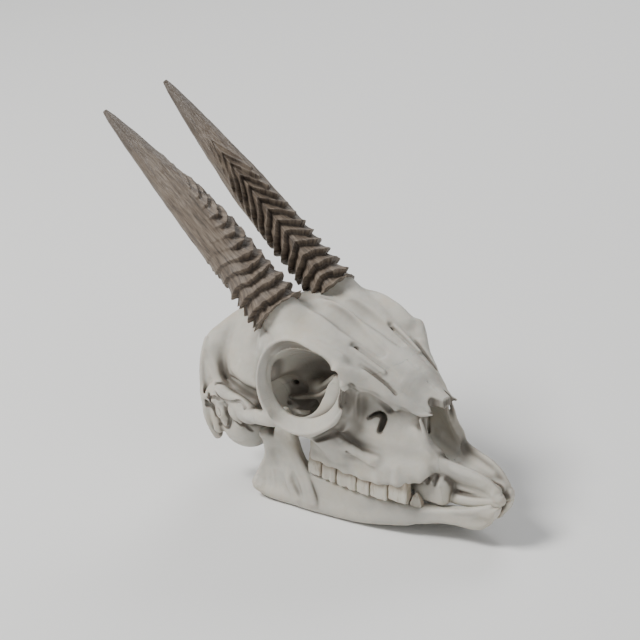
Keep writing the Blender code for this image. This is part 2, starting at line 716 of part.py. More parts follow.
def fade(value, start, end):
    """1 before start, 0 past end, smooth between."""
    t = min(1.0, max(0.0, (value - start) / (end - start)))
    return 1 - t * t * (3 - 2 * t)


def horn_rows(length):
    """Distances along the horn, each with how far its ridge stands out."""
    rows = []
    for ridge in range(HORN_RIDGES):
        for step, rise in ((0.0, 0.0), (0.46, 1.0), (0.6, 0.8)):
            rows.append((HORN_RIDGE_STEP * (ridge + step), rise))
    last = HORN_RIDGE_STEP * HORN_RIDGES
    for t in np.linspace(0, 1, HORN_PLAIN_ROWS):
        rows.append((last + (length - last) * (1 - (1 - t) ** 1.35), 0.0))
    return rows


def horn_ring(side, place, rise, length):
    """One ring of points round a horn."""
    along, keel, across = horn_axes(side)
    share = place / length
    wide, narrow = (np.interp(share, HORN_AT, widths) for widths in (HORN_WIDE, HORN_NARROW))
    outward, forward = (amount * math.sin(math.pi * share) for amount in HORN_BOW[side])
    bow = ((across - keel) * outward + (across + keel) * forward) / math.sqrt(2)
    ring_points = []
    for step in range(HORN_SIDES):
        angle = 2 * math.pi * step / HORN_SIDES
        cos, sin = math.cos(angle), math.sin(angle)
        reach = 1 / math.sqrt((cos / wide) ** 2 + (sin / narrow) ** 2)
        # Ridges run furthest up the keel and end low on the outer side
        end = HORN_RIDGES_END * (1 - (0.5 * sin if sin > 0 else -0.22 * sin))
        lift = HORN_RIDGE_RISE * (0.62 + 0.38 * cos * cos) * fade(share, end - 0.16, end)
        reach += lift * (rise - 0.35)
        # Ridges sweep towards the base on both sides of the keel
        sweep = -abs(sin) * (HORN_SWEEP_OUTER if sin > 0 else HORN_SWEEP_INNER)
        shift = sweep * min(1.0, place / HORN_SWEEP_START) * fade(share, 0.55, 1.0)
        centre = Vector(HORN_ENDS[side][0]) + along * (place + shift) + bow
        ring_points.append(centre + keel * reach * cos + across * reach * sin)
    return ring_points


def build_horn(side, horn):
    base, tip = (Vector(end) for end in HORN_ENDS[side])
    length = (tip - base).length
    rings = [horn_ring(side, place, rise, length) for place, rise in horn_rows(length)]
    points, faces = loft_rings(rings)
    made = new_object("horn_" + side, points, faces, horn)
    outward_faces(made)
    return made


def loft_rings(rings):
    """Points and faces of a closed body through rings of equal count."""
    count = len(rings[0])
    points = [point for ring_points in rings for point in ring_points]
    faces = [tuple(range(count)), tuple(len(points) - count + i for i in range(count))]
    for row in range(len(rings) - 1):
        for step in range(count):
            a, b = row * count + step, row * count + (step + 1) % count
            faces.append((a, b, b + count, a + count))
    return points, faces


def outward_faces(thing):
    body = bmesh.new()
    body.from_mesh(thing.data)
    bmesh.ops.recalc_face_normals(body, faces=body.faces)
    bmesh.ops.triangulate(body, faces=body.faces)
    body.to_mesh(thing.data)
    body.free()


# Teeth

def tooth(name, centre, axis, length, depth, levels, lobes, lean, enamel):
    """A cheek tooth: a closed loft of lobed sections. Levels are height, scale and outward shift."""
    axis = Vector(axis).normalized()
    outward = Vector((axis.y, -axis.x, 0))
    count = 4 * lobes + 6
    rings = []
    for height, scale, shift in levels:
        ring_points = []
        for step in range(count):
            angle = 2 * math.pi * step / count
            cos, sin = math.cos(angle), math.sin(angle)
            along = length / 2 * math.copysign(abs(cos) ** 0.55, cos)
            waist = 1.0
            if lobes == 2:
                waist = 0.80 + 0.20 * min(1.0, abs(along) / (length * 0.22))
            out = depth / 2 * math.copysign(abs(sin) ** 0.62, sin) * waist
            point = Vector(centre) + axis * along * scale + outward * (out * scale + shift)
            point.z = height + lean * (out * scale + shift)
            ring_points.append(point)
        rings.append(ring_points)
    points, faces = loft_rings(rings)
    thing = new_object(name, points, faces, enamel)
    outward_faces(thing)
    return thing


def tooth_places(start, teeth, wall):
    """Centre, direction, length, depth and lobes of each tooth along the outer wall of the row."""
    places, y = [], start
    for length, depth, lobes in teeth:
        middle = y + length / 2
        slope = (wall(middle + 2) - wall(middle - 2)) / 4
        places.append(((wall(middle) - depth / 2, middle), (slope, 1, 0), length - TOOTH_GAP, depth, lobes))
        y += length
    return places


def upper_teeth(enamel):
    made = []
    places = tooth_places(UPPER_ROW_FRONT, UPPER_TEETH, UPPER_WALL)
    for number, ((x, y), axis, length, depth, lobes) in enumerate(places):
        edge = BITE(y)
        levels = ((edge + 9.0, 0.86, -0.7), (edge + 2.4, 1.0, 0.1), (edge + 0.3, 1.0, 0.3), (edge, 0.94, 0.3))
        made.append(tooth(f"upper{number}", (x, y, 0), axis, length, depth, levels, lobes, -0.24, enamel))
    return made


def lower_teeth(enamel):
    made = []
    places = tooth_places(LOWER_ROW_FRONT, LOWER_TEETH, LOWER_WALL)
    for number, ((x, y), axis, length, depth, lobes) in enumerate(places):
        edge = BITE(y) - 0.1
        levels = ((edge - 7.0, 0.84, 0.2), (edge - 0.5, 1.0, 0.0), (edge, 0.92, 0.0))
        made.append(tooth(f"lower{number}", (x, y, 0), axis, length, depth, levels, lobes, -0.24, enamel))
    return made


def join_teeth(jaw, teeth):
    """One Boolean union of the jaw and its teeth."""
    group = bpy.data.collections.new("teeth")
    bpy.context.scene.collection.children.link(group)
    for one in teeth:
        group.objects.link(one)
    join = jaw.modifiers.new("join", "BOOLEAN")
    join.operation = "UNION"
    join.operand_type = "COLLECTION"
    join.collection = group
    apply_modifiers(jaw)
    for one in teeth:
        bpy.data.objects.remove(one)
    bpy.data.collections.remove(group)
    remove_loose(jaw.data)


def build_lower_jaw(bone):
    clay = model_jaw().part(lambda x, y, z: GAP / 2 - x)
    left = skin(clay, "mandible_left", bone, JAW_FACES, False)
    join_teeth(left, lower_teeth(bone))
    return [left, mirrored_copy(left, "mandible_right")]


def settle(things):
    """Moves the whole skull so that the middle of its box's bottom is the origin, in metres."""
    corners = np.array([list(vertex.co) for thing in things for vertex in thing.data.vertices])
    low, high = corners.min(axis=0), corners.max(axis=0)
    shift = Vector((-(low[0] + high[0]) / 2, -(low[1] + high[1]) / 2, -low[2]))
    for thing in things:
        thing.data.transform(Matrix.Scale(MM, 4) @ Matrix.Translation(shift))
        thing.data.shade_smooth()
        thing.data.set_sharp_from_angle(angle=math.radians(35))


def material(name, colour, roughness):
    made = bpy.data.materials.new(name)
    made.use_nodes = True
    shader = made.node_tree.nodes["Principled BSDF"]
    shader.inputs["Base Color"].default_value = colour
    shader.inputs["Roughness"].default_value = roughness
    shader.inputs["Metallic"].default_value = 0.0
    return made


def build_skull():
    for thing in list(bpy.data.objects):
        bpy.data.objects.remove(thing)
    bone = material("bone", BONE, 0.62)
    horn = material("horn", HORN, 0.5)
    settle(build_cranium(bone) + build_lower_jaw(bone) + [build_horn(side, horn) for side in HORN_ENDS])


build_skull()
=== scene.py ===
"""The looks of the dik-dik skull: finely modelled bones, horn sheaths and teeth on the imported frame.

The bones are modelled as in the part's source, on a finer lattice of signed distances, with the small
forms that the coarse solids leave out. All sizes are millimetres in the skull's own frame: +X is the
animal's left, +Y runs backwards from the muzzle and +Z is up, with the upper tooth row level.
"""

import math

import bpy
import numpy as np
import openvdb
from mathutils import Matrix, Vector, noise


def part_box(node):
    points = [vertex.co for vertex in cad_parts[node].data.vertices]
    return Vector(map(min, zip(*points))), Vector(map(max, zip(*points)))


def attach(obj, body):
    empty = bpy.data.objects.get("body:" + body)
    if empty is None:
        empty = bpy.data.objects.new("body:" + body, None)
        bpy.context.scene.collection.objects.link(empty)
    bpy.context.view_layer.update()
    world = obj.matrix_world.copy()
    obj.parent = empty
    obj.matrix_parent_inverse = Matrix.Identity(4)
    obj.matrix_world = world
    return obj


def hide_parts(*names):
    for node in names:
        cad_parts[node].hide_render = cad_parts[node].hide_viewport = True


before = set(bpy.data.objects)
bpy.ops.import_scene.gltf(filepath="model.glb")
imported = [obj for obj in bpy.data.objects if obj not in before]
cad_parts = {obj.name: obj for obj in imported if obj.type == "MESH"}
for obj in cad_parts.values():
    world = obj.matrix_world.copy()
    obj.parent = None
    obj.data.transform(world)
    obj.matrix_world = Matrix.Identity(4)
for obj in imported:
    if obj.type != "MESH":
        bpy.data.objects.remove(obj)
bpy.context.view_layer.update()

MM = 0.001

# Lattice of the clay: spacing, corners, and the distance where nothing is near
PITCH = 0.3
BLOCK_LOW = (-2.1, 4.0, -18.0)
BLOCK_HIGH = (31.0, 118.0, 54.0)
FAR = 40.0
# How far round a form the lattice is worked on
REACH = 6.0
# Plates end within this X
PLATE_OUTER = 30.0

# Gap that neighbouring bones keep, narrower than in the solids, as a suture is
GAP = 0.04

# Orbit: middle of the eye socket's opening, and the turn of its plane in degrees
ORBIT = (21.2, 65.0, 26.9)
ORBIT_TURN = (0.0, -10.0, -10.5)

# Joint head of the lower jaw: centre and radii
JAW_JOINT = (16.0, 82.8, 6.4)
JAW_JOINT_RADII = (3.2, 1.8, 1.5)

# Horns: centre of the base and tip, which differ a little from side to side, as in life
HORN_ENDS = {
    "left": ((10.4, 77.4, 42.0), (11.8, 140.9, 94.5)),
    "right": ((-12.1, 79.6, 42.8), (-12.6, 142.1, 91.6)),
}
HORN_KEEL_DEG = 45.0
# Half widths of the horn towards its keel and across it, at shares of its length
HORN_AT = (0.0, 0.1, 0.33, 0.5, 0.67, 0.85, 0.96, 1.0)
HORN_WIDE = (7.0, 6.8, 6.4, 5.5, 4.2, 2.6, 1.4, 0.7)
HORN_NARROW = (6.1, 6.0, 6.0, 5.5, 4.2, 2.6, 1.4, 0.7)
# How far the middle of each horn bows outward and forward, in millimetres
HORN_BOW = {"left": (-0.4, -0.2), "right": (0.0, 0.8)}
# Ridges: number of steps, step at the base, rise, and the share of the length where they end on the keel
HORN_RIDGES = 14
HORN_RIDGE_STEP = 4.1
HORN_RIDGE_RISE = 2.2
HORN_RIDGES_END = 0.80
# How far a ridge runs down the horn on its way round the outer and the inner side
HORN_SWEEP_OUTER = 5.0
HORN_SWEEP_INNER = 8.5

# Cheek teeth, front to back: length along the row, depth across it and number of lobes
UPPER_TEETH = ((6.0, 3.6, 1), (5.7, 4.4, 1), (4.4, 4.8, 1), (6.8, 5.2, 2), (5.0, 5.4, 2), (4.7, 5.0, 1))
LOWER_TEETH = ((3.8, 2.4, 1), (4.8, 3.0, 1), (5.2, 3.4, 1), (5.8, 3.8, 2), (6.0, 3.8, 2), (6.8, 3.6, 2))
UPPER_ROW_FRONT = 35.3
LOWER_ROW_FRONT = 33.0
TOOTH_GAP = 0.14


class Form:
    """A solid form: the box that holds its surface, and its signed distance over coordinates."""

    def __init__(self, low, high, distance):
        self.low = np.array(low, float)
        self.high = np.array(high, float)
        self.distance = distance


def turn_matrix(degrees):
    x, y, z = (math.radians(v) for v in degrees)
    return np.array(Matrix.Rotation(z, 3, "Z") @ Matrix.Rotation(y, 3, "Y") @ Matrix.Rotation(x, 3, "X"))


def turned(matrix, centre, x, y, z):
    """Coordinates from the centre along the turned axes."""
    offset = (x - centre[0], y - centre[1], z - centre[2])
    return [sum(matrix[row][col] * offset[row] for row in range(3)) for col in range(3)]


def round_about(centre, reach, distance):
    return Form(np.array(centre) - reach, np.array(centre) + reach, distance)


def ellipsoid(centre, radii, turn=(0, 0, 0)):
    """An egg form. Turn is in degrees about X, then Y, then Z."""
    matrix = turn_matrix(turn)
    reach = np.sqrt(((matrix * np.array(radii)) ** 2).sum(axis=1))

    def distance(x, y, z):
        local = turned(matrix, centre, x, y, z)
        near = np.sqrt(sum((p / r) ** 2 for p, r in zip(local, radii)))
        slope = np.sqrt(sum((p / r**2) ** 2 for p, r in zip(local, radii)))
        return near * (near - 1) / np.maximum(slope, 1e-4)

    return round_about(centre, reach, distance)


def smooth_curve(points, steps=4):
    """Catmull-Rom curve through the points, any number of columns."""
    points = np.array(points, float)
    padded = np.vstack([2 * points[0] - points[1], points, 2 * points[-1] - points[-2]])
    rows = []
    for a, b, c, d in zip(padded, padded[1:], padded[2:], padded[3:]):
        for t in np.arange(steps) / steps:
            square, cube = 2 * a - 5 * b + 4 * c - d, 3 * b - a - 3 * c + d
            rows.append(0.5 * (2 * b + (c - a) * t + square * t**2 + cube * t**3))
    rows.append(points[-1])
    return np.array(rows)


def rod(points, squash=(1.0, 1.0, 1.0)):
    """A tapered rod along a smooth curve. Each point is x, y, z, radius; squash below 1 flattens an axis."""
    curve = smooth_curve(points)
    scale = np.array(squash, float)
    radius = curve[:, 3].max()
    low = curve[:, :3].min(axis=0) - radius * scale
    high = curve[:, :3].max(axis=0) + radius * scale

    def distance(x, y, z):
        best = None
        for start, end in zip(curve, curve[1:]):
            along = (end[:3] - start[:3]) / scale
            length = max(float(along @ along), 1e-9)
            offset = [(p - s) / k for p, s, k in zip((x, y, z), start[:3], scale)]
            t = np.clip(sum(o * a for o, a in zip(offset, along)) / length, 0, 1)
            gap = sum((o - t * a) ** 2 for o, a in zip(offset, along))
            found = np.sqrt(gap) - (start[3] + t * (end[3] - start[3]))
            best = found if best is None else np.minimum(best, found)
        return best * min(1.0, float(scale.min()) * 1.3)

    return Form(low, high, distance)


def block(centre, half, edge, turn=(0, 0, 0)):
    """A box with rounded edges."""
    matrix = turn_matrix(turn)
    reach = np.abs(matrix) @ np.array(half)

    def distance(x, y, z):
        local = turned(matrix, centre, x, y, z)
        out = [np.abs(p) - h + edge for p, h in zip(local, half)]
        outside = np.sqrt(sum(np.maximum(o, 0) ** 2 for o in out))
        inside = np.minimum(np.maximum(np.maximum(out[0], out[1]), out[2]), 0)
        return outside + inside - edge

    return round_about(centre, reach, distance)


def lip(centre, turn, rows):
    """A band round the local X axis, as the edge of a cup.

    Each row is an angle, then the radius, the place along X and the half thickness of the band's outer
    edge, and the same for its inner edge. Angles are in degrees from the back over the top.
    """
    matrix = turn_matrix(turn)
    wrapped = np.vstack([np.array(rows[-2:]), rows, np.array(rows[:2])]).astype(float)
    wrapped[:2, 0] -= 360
    wrapped[-2:, 0] += 360
    curve = smooth_curve(wrapped)
    reach = curve[:, [1, 4]].max() + curve[:, [3, 6]].max()

    def distance(x, y, z):
        across, along, upward = turned(matrix, centre, x, y, z)
        around = np.sqrt(along**2 + upward**2) + 1e-6
        angle = np.degrees(np.arctan2(upward, along)) % 360
        values = [np.interp(angle, curve[:, 0], line) for line in curve.T[1:]]
        outer, place, thick, inner, depth, thin = values
        run, drop = inner - outer, depth - place
        t = np.clip(((around - outer) * run + (across - place) * drop) / (run**2 + drop**2 + 1e-6), 0, 1)
        gap = np.sqrt((around - outer - t * run) ** 2 + (across - place - t * drop) ** 2)
        return gap - (thick + t * (thin - thick))

    return round_about(centre, reach, distance)


def loft(stations, power=2.0, edge=1.5):
    """A body along Y. Each station is y, centre height, half width and half height of its section."""
    curve = smooth_curve(stations)
    y_line, height_line, wide_line, tall_line = curve.T
    low = (-wide_line.max(), y_line[0], (height_line - tall_line).min())
    high = (wide_line.max(), y_line[-1], (height_line + tall_line).max())

    def distance(x, y, z):
        middle, wide, tall = (np.interp(y, y_line, line) for line in (height_line, wide_line, tall_line))
        across, upward = np.abs(x) / wide, np.abs(z - middle) / tall
        near = (across**power + upward**power) ** (1 / power)
        slope = np.sqrt((across / wide) ** 2 + (upward / tall) ** 2) + 1e-4
        section = (near - 1) * np.minimum(near / slope, np.maximum(wide, tall))
        ends = np.maximum(y_line[0] - y, y - y_line[-1])
        return smooth_max(section, ends, edge)

    return Form(low, high, distance)


def polygon_distance(outline, y, z):
    """Signed distance to a closed outline in the YZ plane, negative inside."""
    nearest = np.full(np.broadcast(y, z).shape, FAR**2, np.float32)
    inside = np.zeros(nearest.shape, bool)
    for start, end in zip(outline, np.roll(outline, -1, axis=0)):
        edge_y, edge_z = end - start
        length = edge_y**2 + edge_z**2 + 1e-9
        t = np.clip(((y - start[0]) * edge_y + (z - start[1]) * edge_z) / length, 0, 1)
        gap = (y - start[0] - t * edge_y) ** 2 + (z - start[1] - t * edge_z) ** 2
        nearest = np.minimum(nearest, gap)
        crosses = (start[1] > z) != (end[1] > z)
        where = start[0] + (z - start[1]) * edge_y / (edge_z if abs(edge_z) > 1e-9 else 1e-9)
        inside ^= crosses & (y < where)
    return np.where(inside, -1, 1) * np.sqrt(nearest)


def plate(outline, middle, half, edge=1.0):
    """A plate with this side outline. Middle and half give its X and half thickness over Y and Z."""
    closed = smooth_curve(np.vstack([outline, outline[:1]]), 3)[:-1]
    low = (0.0, *closed.min(axis=0))
    high = (PLATE_OUTER, *closed.max(axis=0))

    def distance(x, y, z):
        flat = polygon_distance(closed, y, z)
        thick = np.abs(x - middle(y, z)) - half(y, z)
        a, b = flat + edge, thick + edge
        return np.sqrt(np.maximum(a, 0) ** 2 + np.maximum(b, 0) ** 2) + np.minimum(np.maximum(a, b), 0) - edge

    return Form(low, high, distance)


def smooth_min(a, b, blend):
    if blend <= 0:
        return np.minimum(a, b)
    near = np.maximum(blend - np.abs(a - b), 0) / blend
    return np.minimum(a, b) - near * near * blend / 4


def smooth_max(a, b, blend):
    return -smooth_min(-a, -b, blend)


class Clay:
    """Signed distances on a lattice over the left half of the head, X from just below 0."""

    def __init__(self, low=BLOCK_LOW, high=BLOCK_HIGH, pitch=PITCH):
        self.pitch = pitch
        counts = [math.ceil((end - start) / pitch) + 1 for start, end in zip(low, high)]
        self.axes = [(a + pitch * np.arange(count)).astype(np.float32) for a, count in zip(low, counts)]
        self.field = np.full([len(line) for line in self.axes], FAR, np.float32)

    def window(self, form):
        spans = [
            slice(*np.searchsorted(line, (low - REACH, high + REACH)))
            for line, low, high in zip(self.axes, form.low, form.high)
        ]
        return tuple(spans), np.ix_(*[line[span] for line, span in zip(self.axes, spans)])

    def add(self, form, blend=1.0):
        spans, grid = self.window(form)
        self.field[spans] = smooth_min(self.field[spans], form.distance(*grid), blend)

    def cut(self, form, blend=1.0):
        spans, grid = self.window(form)
        self.field[spans] = smooth_max(self.field[spans], -form.distance(*grid), blend)

    def part(self, *limits):
        """A copy that keeps only what is inside every limit, each a function of x, y and z."""
        piece = Clay.__new__(Clay)
        piece.pitch, piece.axes = self.pitch, self.axes
        grid = np.ix_(*self.axes)
        piece.field = self.field
        for limit in limits:
            piece.field = np.maximum(piece.field, limit(*grid)).astype(np.float32)
        return piece


def along_y(*pairs):
    """A function of y, straight between the given (y, value) pairs."""
    places, values = zip(*pairs)
    return lambda y, z=0: np.interp(y, places, values)


# Outer walls of the two rows of teeth, and the height of the upper teeth's outer edge
UPPER_WALL = along_y((30, 12.6), (45, 15.2), (58, 16.4), (70, 16.8))
LOWER_WALL = along_y((28, 9.0), (40, 11.2), (52, 12.4), (64, 13.0), (70, 13.2))
BITE = along_y((32, -2.2), (42, -3.2), (52, -2.8), (60, -1.9), (67, -1.0))

# Cranium

MUZZLE = (
    (27.0, 15.0, 3.6, 8.6), (33.0, 16.4, 5.4, 9.4), (41.0, 18.8, 7.8, 11.4), (50.0, 21.6, 10.6, 13.2),
    (60.0, 24.6, 13.4, 14.4), (68.0, 27.0, 15.0, 15.0),
)
CHEEK = (
    (30.0, 9.0, 8.0, 5.2), (40.0, 10.4, 11.8, 7.2), (50.0, 11.8, 14.6, 8.4), (60.0, 12.0, 16.6, 8.0),
    (67.0, 11.0, 16.4, 6.0),
)
FOREHEAD = (
    (40.0, 26.0, 5.6, 3.2), (46.0, 28.2, 9.0, 4.2), (52.0, 30.4, 14.0, 5.0), (58.0, 33.0, 18.6, 6.0),
    (66.0, 35.0, 20.8, 6.6), (74.0, 35.6, 21.2, 6.8), (80.0, 34.8, 19.8, 7.4), (85.0, 33.6, 16.0, 8.4),
)


def add_braincase(clay):
    clay.add(ellipsoid((0, 87.6, 22.6), (18.6, 18.4, 18.6)), 0)
    crest = [(0, 101.5, 33.0, 2.4), (8, 102.8, 31.6, 2.2), (14.4, 103.8, 27.8, 1.8), (17.0, 104, 22, 2.0)]
    clay.add(rod(crest + [(17.6, 102, 14, 2.4)]), 4)
    # Crest from the nape down to the root of the cheek arch
    crest = [(15.6, 103.6, 26.6, 1.5), (18.2, 99, 19.6, 1.7), (19.0, 93, 16.0, 2.0), (19.2, 86, 14.4, 2.0)]
    clay.add(rod(crest), 2)
    clay.add(block((0, 102.6, 19), (15.6, 3.4, 12.4), 3.0), 4)
    clay.add(rod([(0, 107, 8, 5.0), (0, 92, 7, 5.4), (0, 78, 8.5, 4.8), (0, 66, 10, 4.2)]), 3)
    # Occipital condyles either side of the great foramen
    clay.add(ellipsoid((5.8, 108.2, 7.6), (3.9, 4.4, 5.4), (0, 0, 12)), 2)
    # Crest of the nape, in the middle
    clay.add(rod([(0, 102.6, 34, 1.6), (0, 105.6, 27, 1.4), (0, 106.0, 20, 1.0)]), 2)


def add_ear_region(clay):
    clay.add(ellipsoid((13.2, 92.8, 5.6), (6.2, 8.0, 7.6), (0, 0, -12)), 1.5)
    clay.add(rod([(17.2, 103, 14, 3.4), (16.4, 104.0, 6, 2.6), (14.8, 103.6, -0.6, 1.7)], (1, 0.8, 1)), 2)
    clay.add(rod([(14.0, 94.5, 8.5, 2.6), (19.2, 96.5, 10.6, 2.5)]), 1.5)
    clay.add(ellipsoid((18.2, 98.5, 15.2), (3.2, 5.0, 3.6)), 1.5)
    clay.add(rod([(17.4, 100.8, 10, 2.0), (17.2, 100.6, 3.2, 1.6)]), 1)


def add_forehead(clay):
    clay.add(loft(FOREHEAD, 2.3, 3), 5)
    # Bony core of the horn, inside its sheath
    core = [(11.0, 67, 33.4, 6.4), (11.4, 73.4, 37.6, 6.2), (11.6, 78.4, 42.4, 5.8), (11.6, 82, 45.4, 4.2)]
    clay.add(rod(core), 4)
    # Dome between the horns
    clay.add(ellipsoid((0, 74, 35.8), (10, 12, 7.6), (-14, 0, 0)), 5)


def add_face(clay):
    clay.add(loft(MUZZLE, 2.5, 2), 4)
    clay.add(loft(CHEEK, 3.2, 2), 4)
    # Bulge that holds the roots of the cheek teeth
    roots = [(8.8, 33.8, 4.6, 3.0), (11.8, 42, 5.0, 3.4), (13.2, 54, 5.8, 3.6), (13.6, 62.8, 7.2, 3.6)]
    clay.add(rod(roots, (0.9, 1, 1)), 3)
    # Pillar from the tooth bulge up to the front of the eye socket
    clay.add(rod([(16.6, 57, 9, 3.4), (19.0, 60, 13, 3.0), (21.0, 62, 14.6, 2.2)]), 3)
    # Ledge from the eye socket to the nasal bone
    ledge = [(18.4, 54.0, 34.2, 1.8), (12.4, 47.2, 28.8, 1.9), (8.2, 40.6, 24.8, 1.8), (4.9, 34.2, 21.8, 1.2)]
    clay.add(rod(ledge), 2.5)
    # Blade behind the palate
    clay.add(rod([(5.6, 66, 9, 2.2), (5.8, 74, 6, 1.5), (6.4, 81, 3.6, 1.3)], (0.8, 1, 1.8)), 1.5)


def add_cheek_arch(clay):
    arch = [(17.0, 93, 14.4, 2.6), (20.4, 87.5, 13.8, 2.2), (23.0, 80.5, 14.8, 1.9), (24.4, 73.5, 16.6, 2.0)]
    clay.add(rod(arch, (0.85, 1, 1.25)), 2)
    clay.add(ellipsoid((17.4, 86.6, 11.6), (4.6, 4.2, 2.4)), 1.5)


# Palate in front of the teeth, and the room that the lower jaw leaves round it
PALATE_RAIL = (
    (2.6, 34, 0.2, 3.4), (3.2, 27.0, -2.8, 2.0), (3.0, 21, -2.7, 1.8),
    (2.5, 14.4, -1.1, 1.7), (2.2, 11.4, 0.2, 1.2),
)
PALATE_BULB = (4.2, 32.2, -0.8)
PALATE_BULB_HALF = (3.6, 5.9, 4.5)
PALATE_ROOM = 0.25


def add_premaxilla(clay):
    """The two bars of the muzzle, each over a window with the floor of the nose and the palate behind it."""
    # Arch under the front of the cheek, and window in the side
    arch = [(35.4, -9.0), (35.0, -2.6), (33.9, 0.5), (31.6, 3.6), (29.0, 5.0), (26, 4.6), (23.5, 3.5)]
    arch += [(19.4, 2.9), (16.1, 2.2), (14.2, 1.2), (13.6, 0.0), (16, -9.0)]
    clay.cut(plate(np.array(arch), along_y((0, 13.6)), along_y((0, 9.0)), 0.2), 0.3)
    # Floor of the nose, closed as far as the middle
    floor = [(1.6, 38, 6.0, 3.6), (1.6, 31, 4.2, 2.8), (1.2, 22, 3.2, 2.0), (1.0, 13.6, 1.8, 1.6)]
    clay.add(rod(floor, (1.3, 1, 1)), 1)
    # Inner slope from the bar down to the floor, and the wall behind the window
    inner = [(5.6, 36, 9.0, 2.4), (4.8, 31, 6.4, 2.2), (4.0, 27, 5.6, 1.7), (3.2, 22, 4.8, 1.5)]
    clay.add(rod(inner + [(2.6, 17, 4.0, 1.3)]), 1.6)
    clay.add(rod([(1.4, 27, 0.6, 2.1), (1.4, 21, 0.6, 1.9), (1.4, 15, 0.6, 1.7)]), 0.6)
    # Bar from the side of the nose to the tip, flat on its outer side
    bar = [(7.2, 36.4, 14.6, 2.4), (7.0, 33.6, 11.0, 2.3), (6.4, 30.6, 8.2, 2.1), (5.4, 27.0, 7.5, 1.7)]
    bar += [(4.6, 22.6, 6.8, 1.55), (3.9, 18.8, 6.1, 1.55), (3.1, 15.4, 4.6, 1.5), (2.4, 12.8, 2.3, 1.5)]
    clay.add(rod(bar, (0.55, 1, 1.15)), 1.2)
    # Palate: a bulb behind, and a rail that runs to the tip
    clay.add(block(PALATE_BULB, PALATE_BULB_HALF, 2.6), 0.4)
    clay.add(rod(PALATE_RAIL, (0.9, 1, 1)), 0.4)
    clay.add(rod([(2.4, 13.0, 1.4, 1.4), (2.3, 11.2, -0.4, 1.1)]), 0.8)


def carve_nose(clay):
    """Opens the nose under the nasal bones."""
    opening = [(34.0, 21.3), (33.2, 15), (28.8, 10.6), (21.0, 8.6), (6, 6.5), (6, 24), (26, 20.6), (30, 20.8)]
    clay.cut(plate(np.array(opening), along_y((0, 0)), along_y((0, 16)), 0.4), 1.0)
    cavity = ((22, 10.4, 2.8, 4.2), (29, 13.2, 3.9, 6.8), (36, 15.4, 4.8, 6.8), (43, 17.4, 4.0, 5.4))
    clay.cut(loft(cavity, 2.3, 2), 1.2)
    # Notch between the middle and the side points of each nasal bone
    clay.cut(rod([(3.4, 25.5, 22.5, 1.4), (3.3, 31.0, 23.6, 1.0)], (1, 1, 4)), 0.5)


def carve_eye_socket(clay):
    x, y, z = ORBIT
    # Wall in front of the socket
    clay.add(ellipsoid((16.6, 53.8, 24.0), (4.4, 3.6, 9.0), (0, -6, -10)), 3)
    clay.cut(ellipsoid((x - 0.6, y, z - 0.6), (16.2, 12.3, 12.2), (0, -16, -10)), 1.5)
    clay.cut(ellipsoid((x - 7.4, y + 9, z - 9), (7.0, 9.0, 7.0)), 2)
    # Way for the temple muscle behind the socket
    clay.cut(rod([(19.6, 79.5, 27, 3.0), (20.2, 80.5, 19, 3.4), (19.2, 78, 8, 4.0)]), 2)
    # Bulge low in the inner wall
    clay.add(ellipsoid((7.2, 64.0, 19.8), (3.2, 8.5, 4.0), (12, 0, -8)), 4)


# Bands of the eye socket's rim, as lip takes them: its lip, a flange inside it and a crease round its outside
SOCKET_LIP = (
    (0, 13.7, 0.5, 0.5, 12.7, -1.5, 0.7), (20, 14.1, 0.3, 0.5, 13.3, -1.3, 0.7),
    (40, 14.7, 0.0, 0.55, 14.2, -1.0, 0.8), (60, 14.5, -0.1, 0.6, 14.1, -1.2, 0.9),
    (75, 13.8, -0.2, 0.6, 13.5, -1.2, 0.9), (90, 12.9, -0.2, 0.6, 12.7, -1.2, 0.9),
    (105, 12.4, -0.2, 0.6, 12.3, -1.2, 0.9), (125, 12.8, -0.1, 0.6, 12.7, -1.2, 0.9),
    (146, 12.9, 0.0, 0.6, 12.6, -1.2, 0.9), (165, 13.6, 0.4, 0.6, 12.4, -1.6, 0.8),
    (180, 13.9, 0.5, 0.6, 11.6, -2.0, 0.8), (200, 13.6, 0.6, 0.6, 10.8, -2.3, 0.8),
    (222, 13.1, 0.7, 0.6, 10.2, -2.4, 0.8), (243, 12.7, 0.7, 0.6, 9.9, -2.4, 0.8),
    (265, 12.9, 0.6, 0.6, 9.9, -2.4, 0.8), (290, 13.0, 0.5, 0.6, 10.8, -3.0, 0.8),
    (310, 13.4, 0.5, 0.6, 11.9, -3.6, 0.8), (338, 13.4, 0.5, 0.55, 12.2, -3.2, 0.8),
)
SOCKET_FLANGE = (
    (0, 12.7, -2.4, 0.4, 12.7, -2.6, 0.4), (60, 14.2, -2.2, 0.4, 14.2, -2.4, 0.4),
    (105, 12.4, -2.2, 0.4, 12.4, -2.4, 0.4), (142, 12.6, -3.0, 0.5, 12.0, -3.4, 0.4),
    (154, 12.2, -3.4, 0.7, 9.4, -4.6, 0.5), (166, 11.8, -3.6, 0.8, 6.8, -5.0, 0.5),
    (185, 11.4, -3.9, 0.8, 5.7, -5.2, 0.5), (205, 11.2, -4.1, 0.8, 5.8, -5.2, 0.5),
    (225, 10.8, -4.2, 0.8, 6.2, -5.2, 0.5), (245, 10.4, -4.2, 0.8, 7.4, -5.2, 0.5),
    (262, 10.4, -4.2, 0.8, 8.8, -5.2, 0.5), (280, 10.8, -4.4, 0.7, 10.4, -5.2, 0.5),
    (300, 11.6, -4.5, 0.6, 11.6, -5.0, 0.5), (338, 12.2, -3.8, 0.5, 12.2, -4.0, 0.5),
)
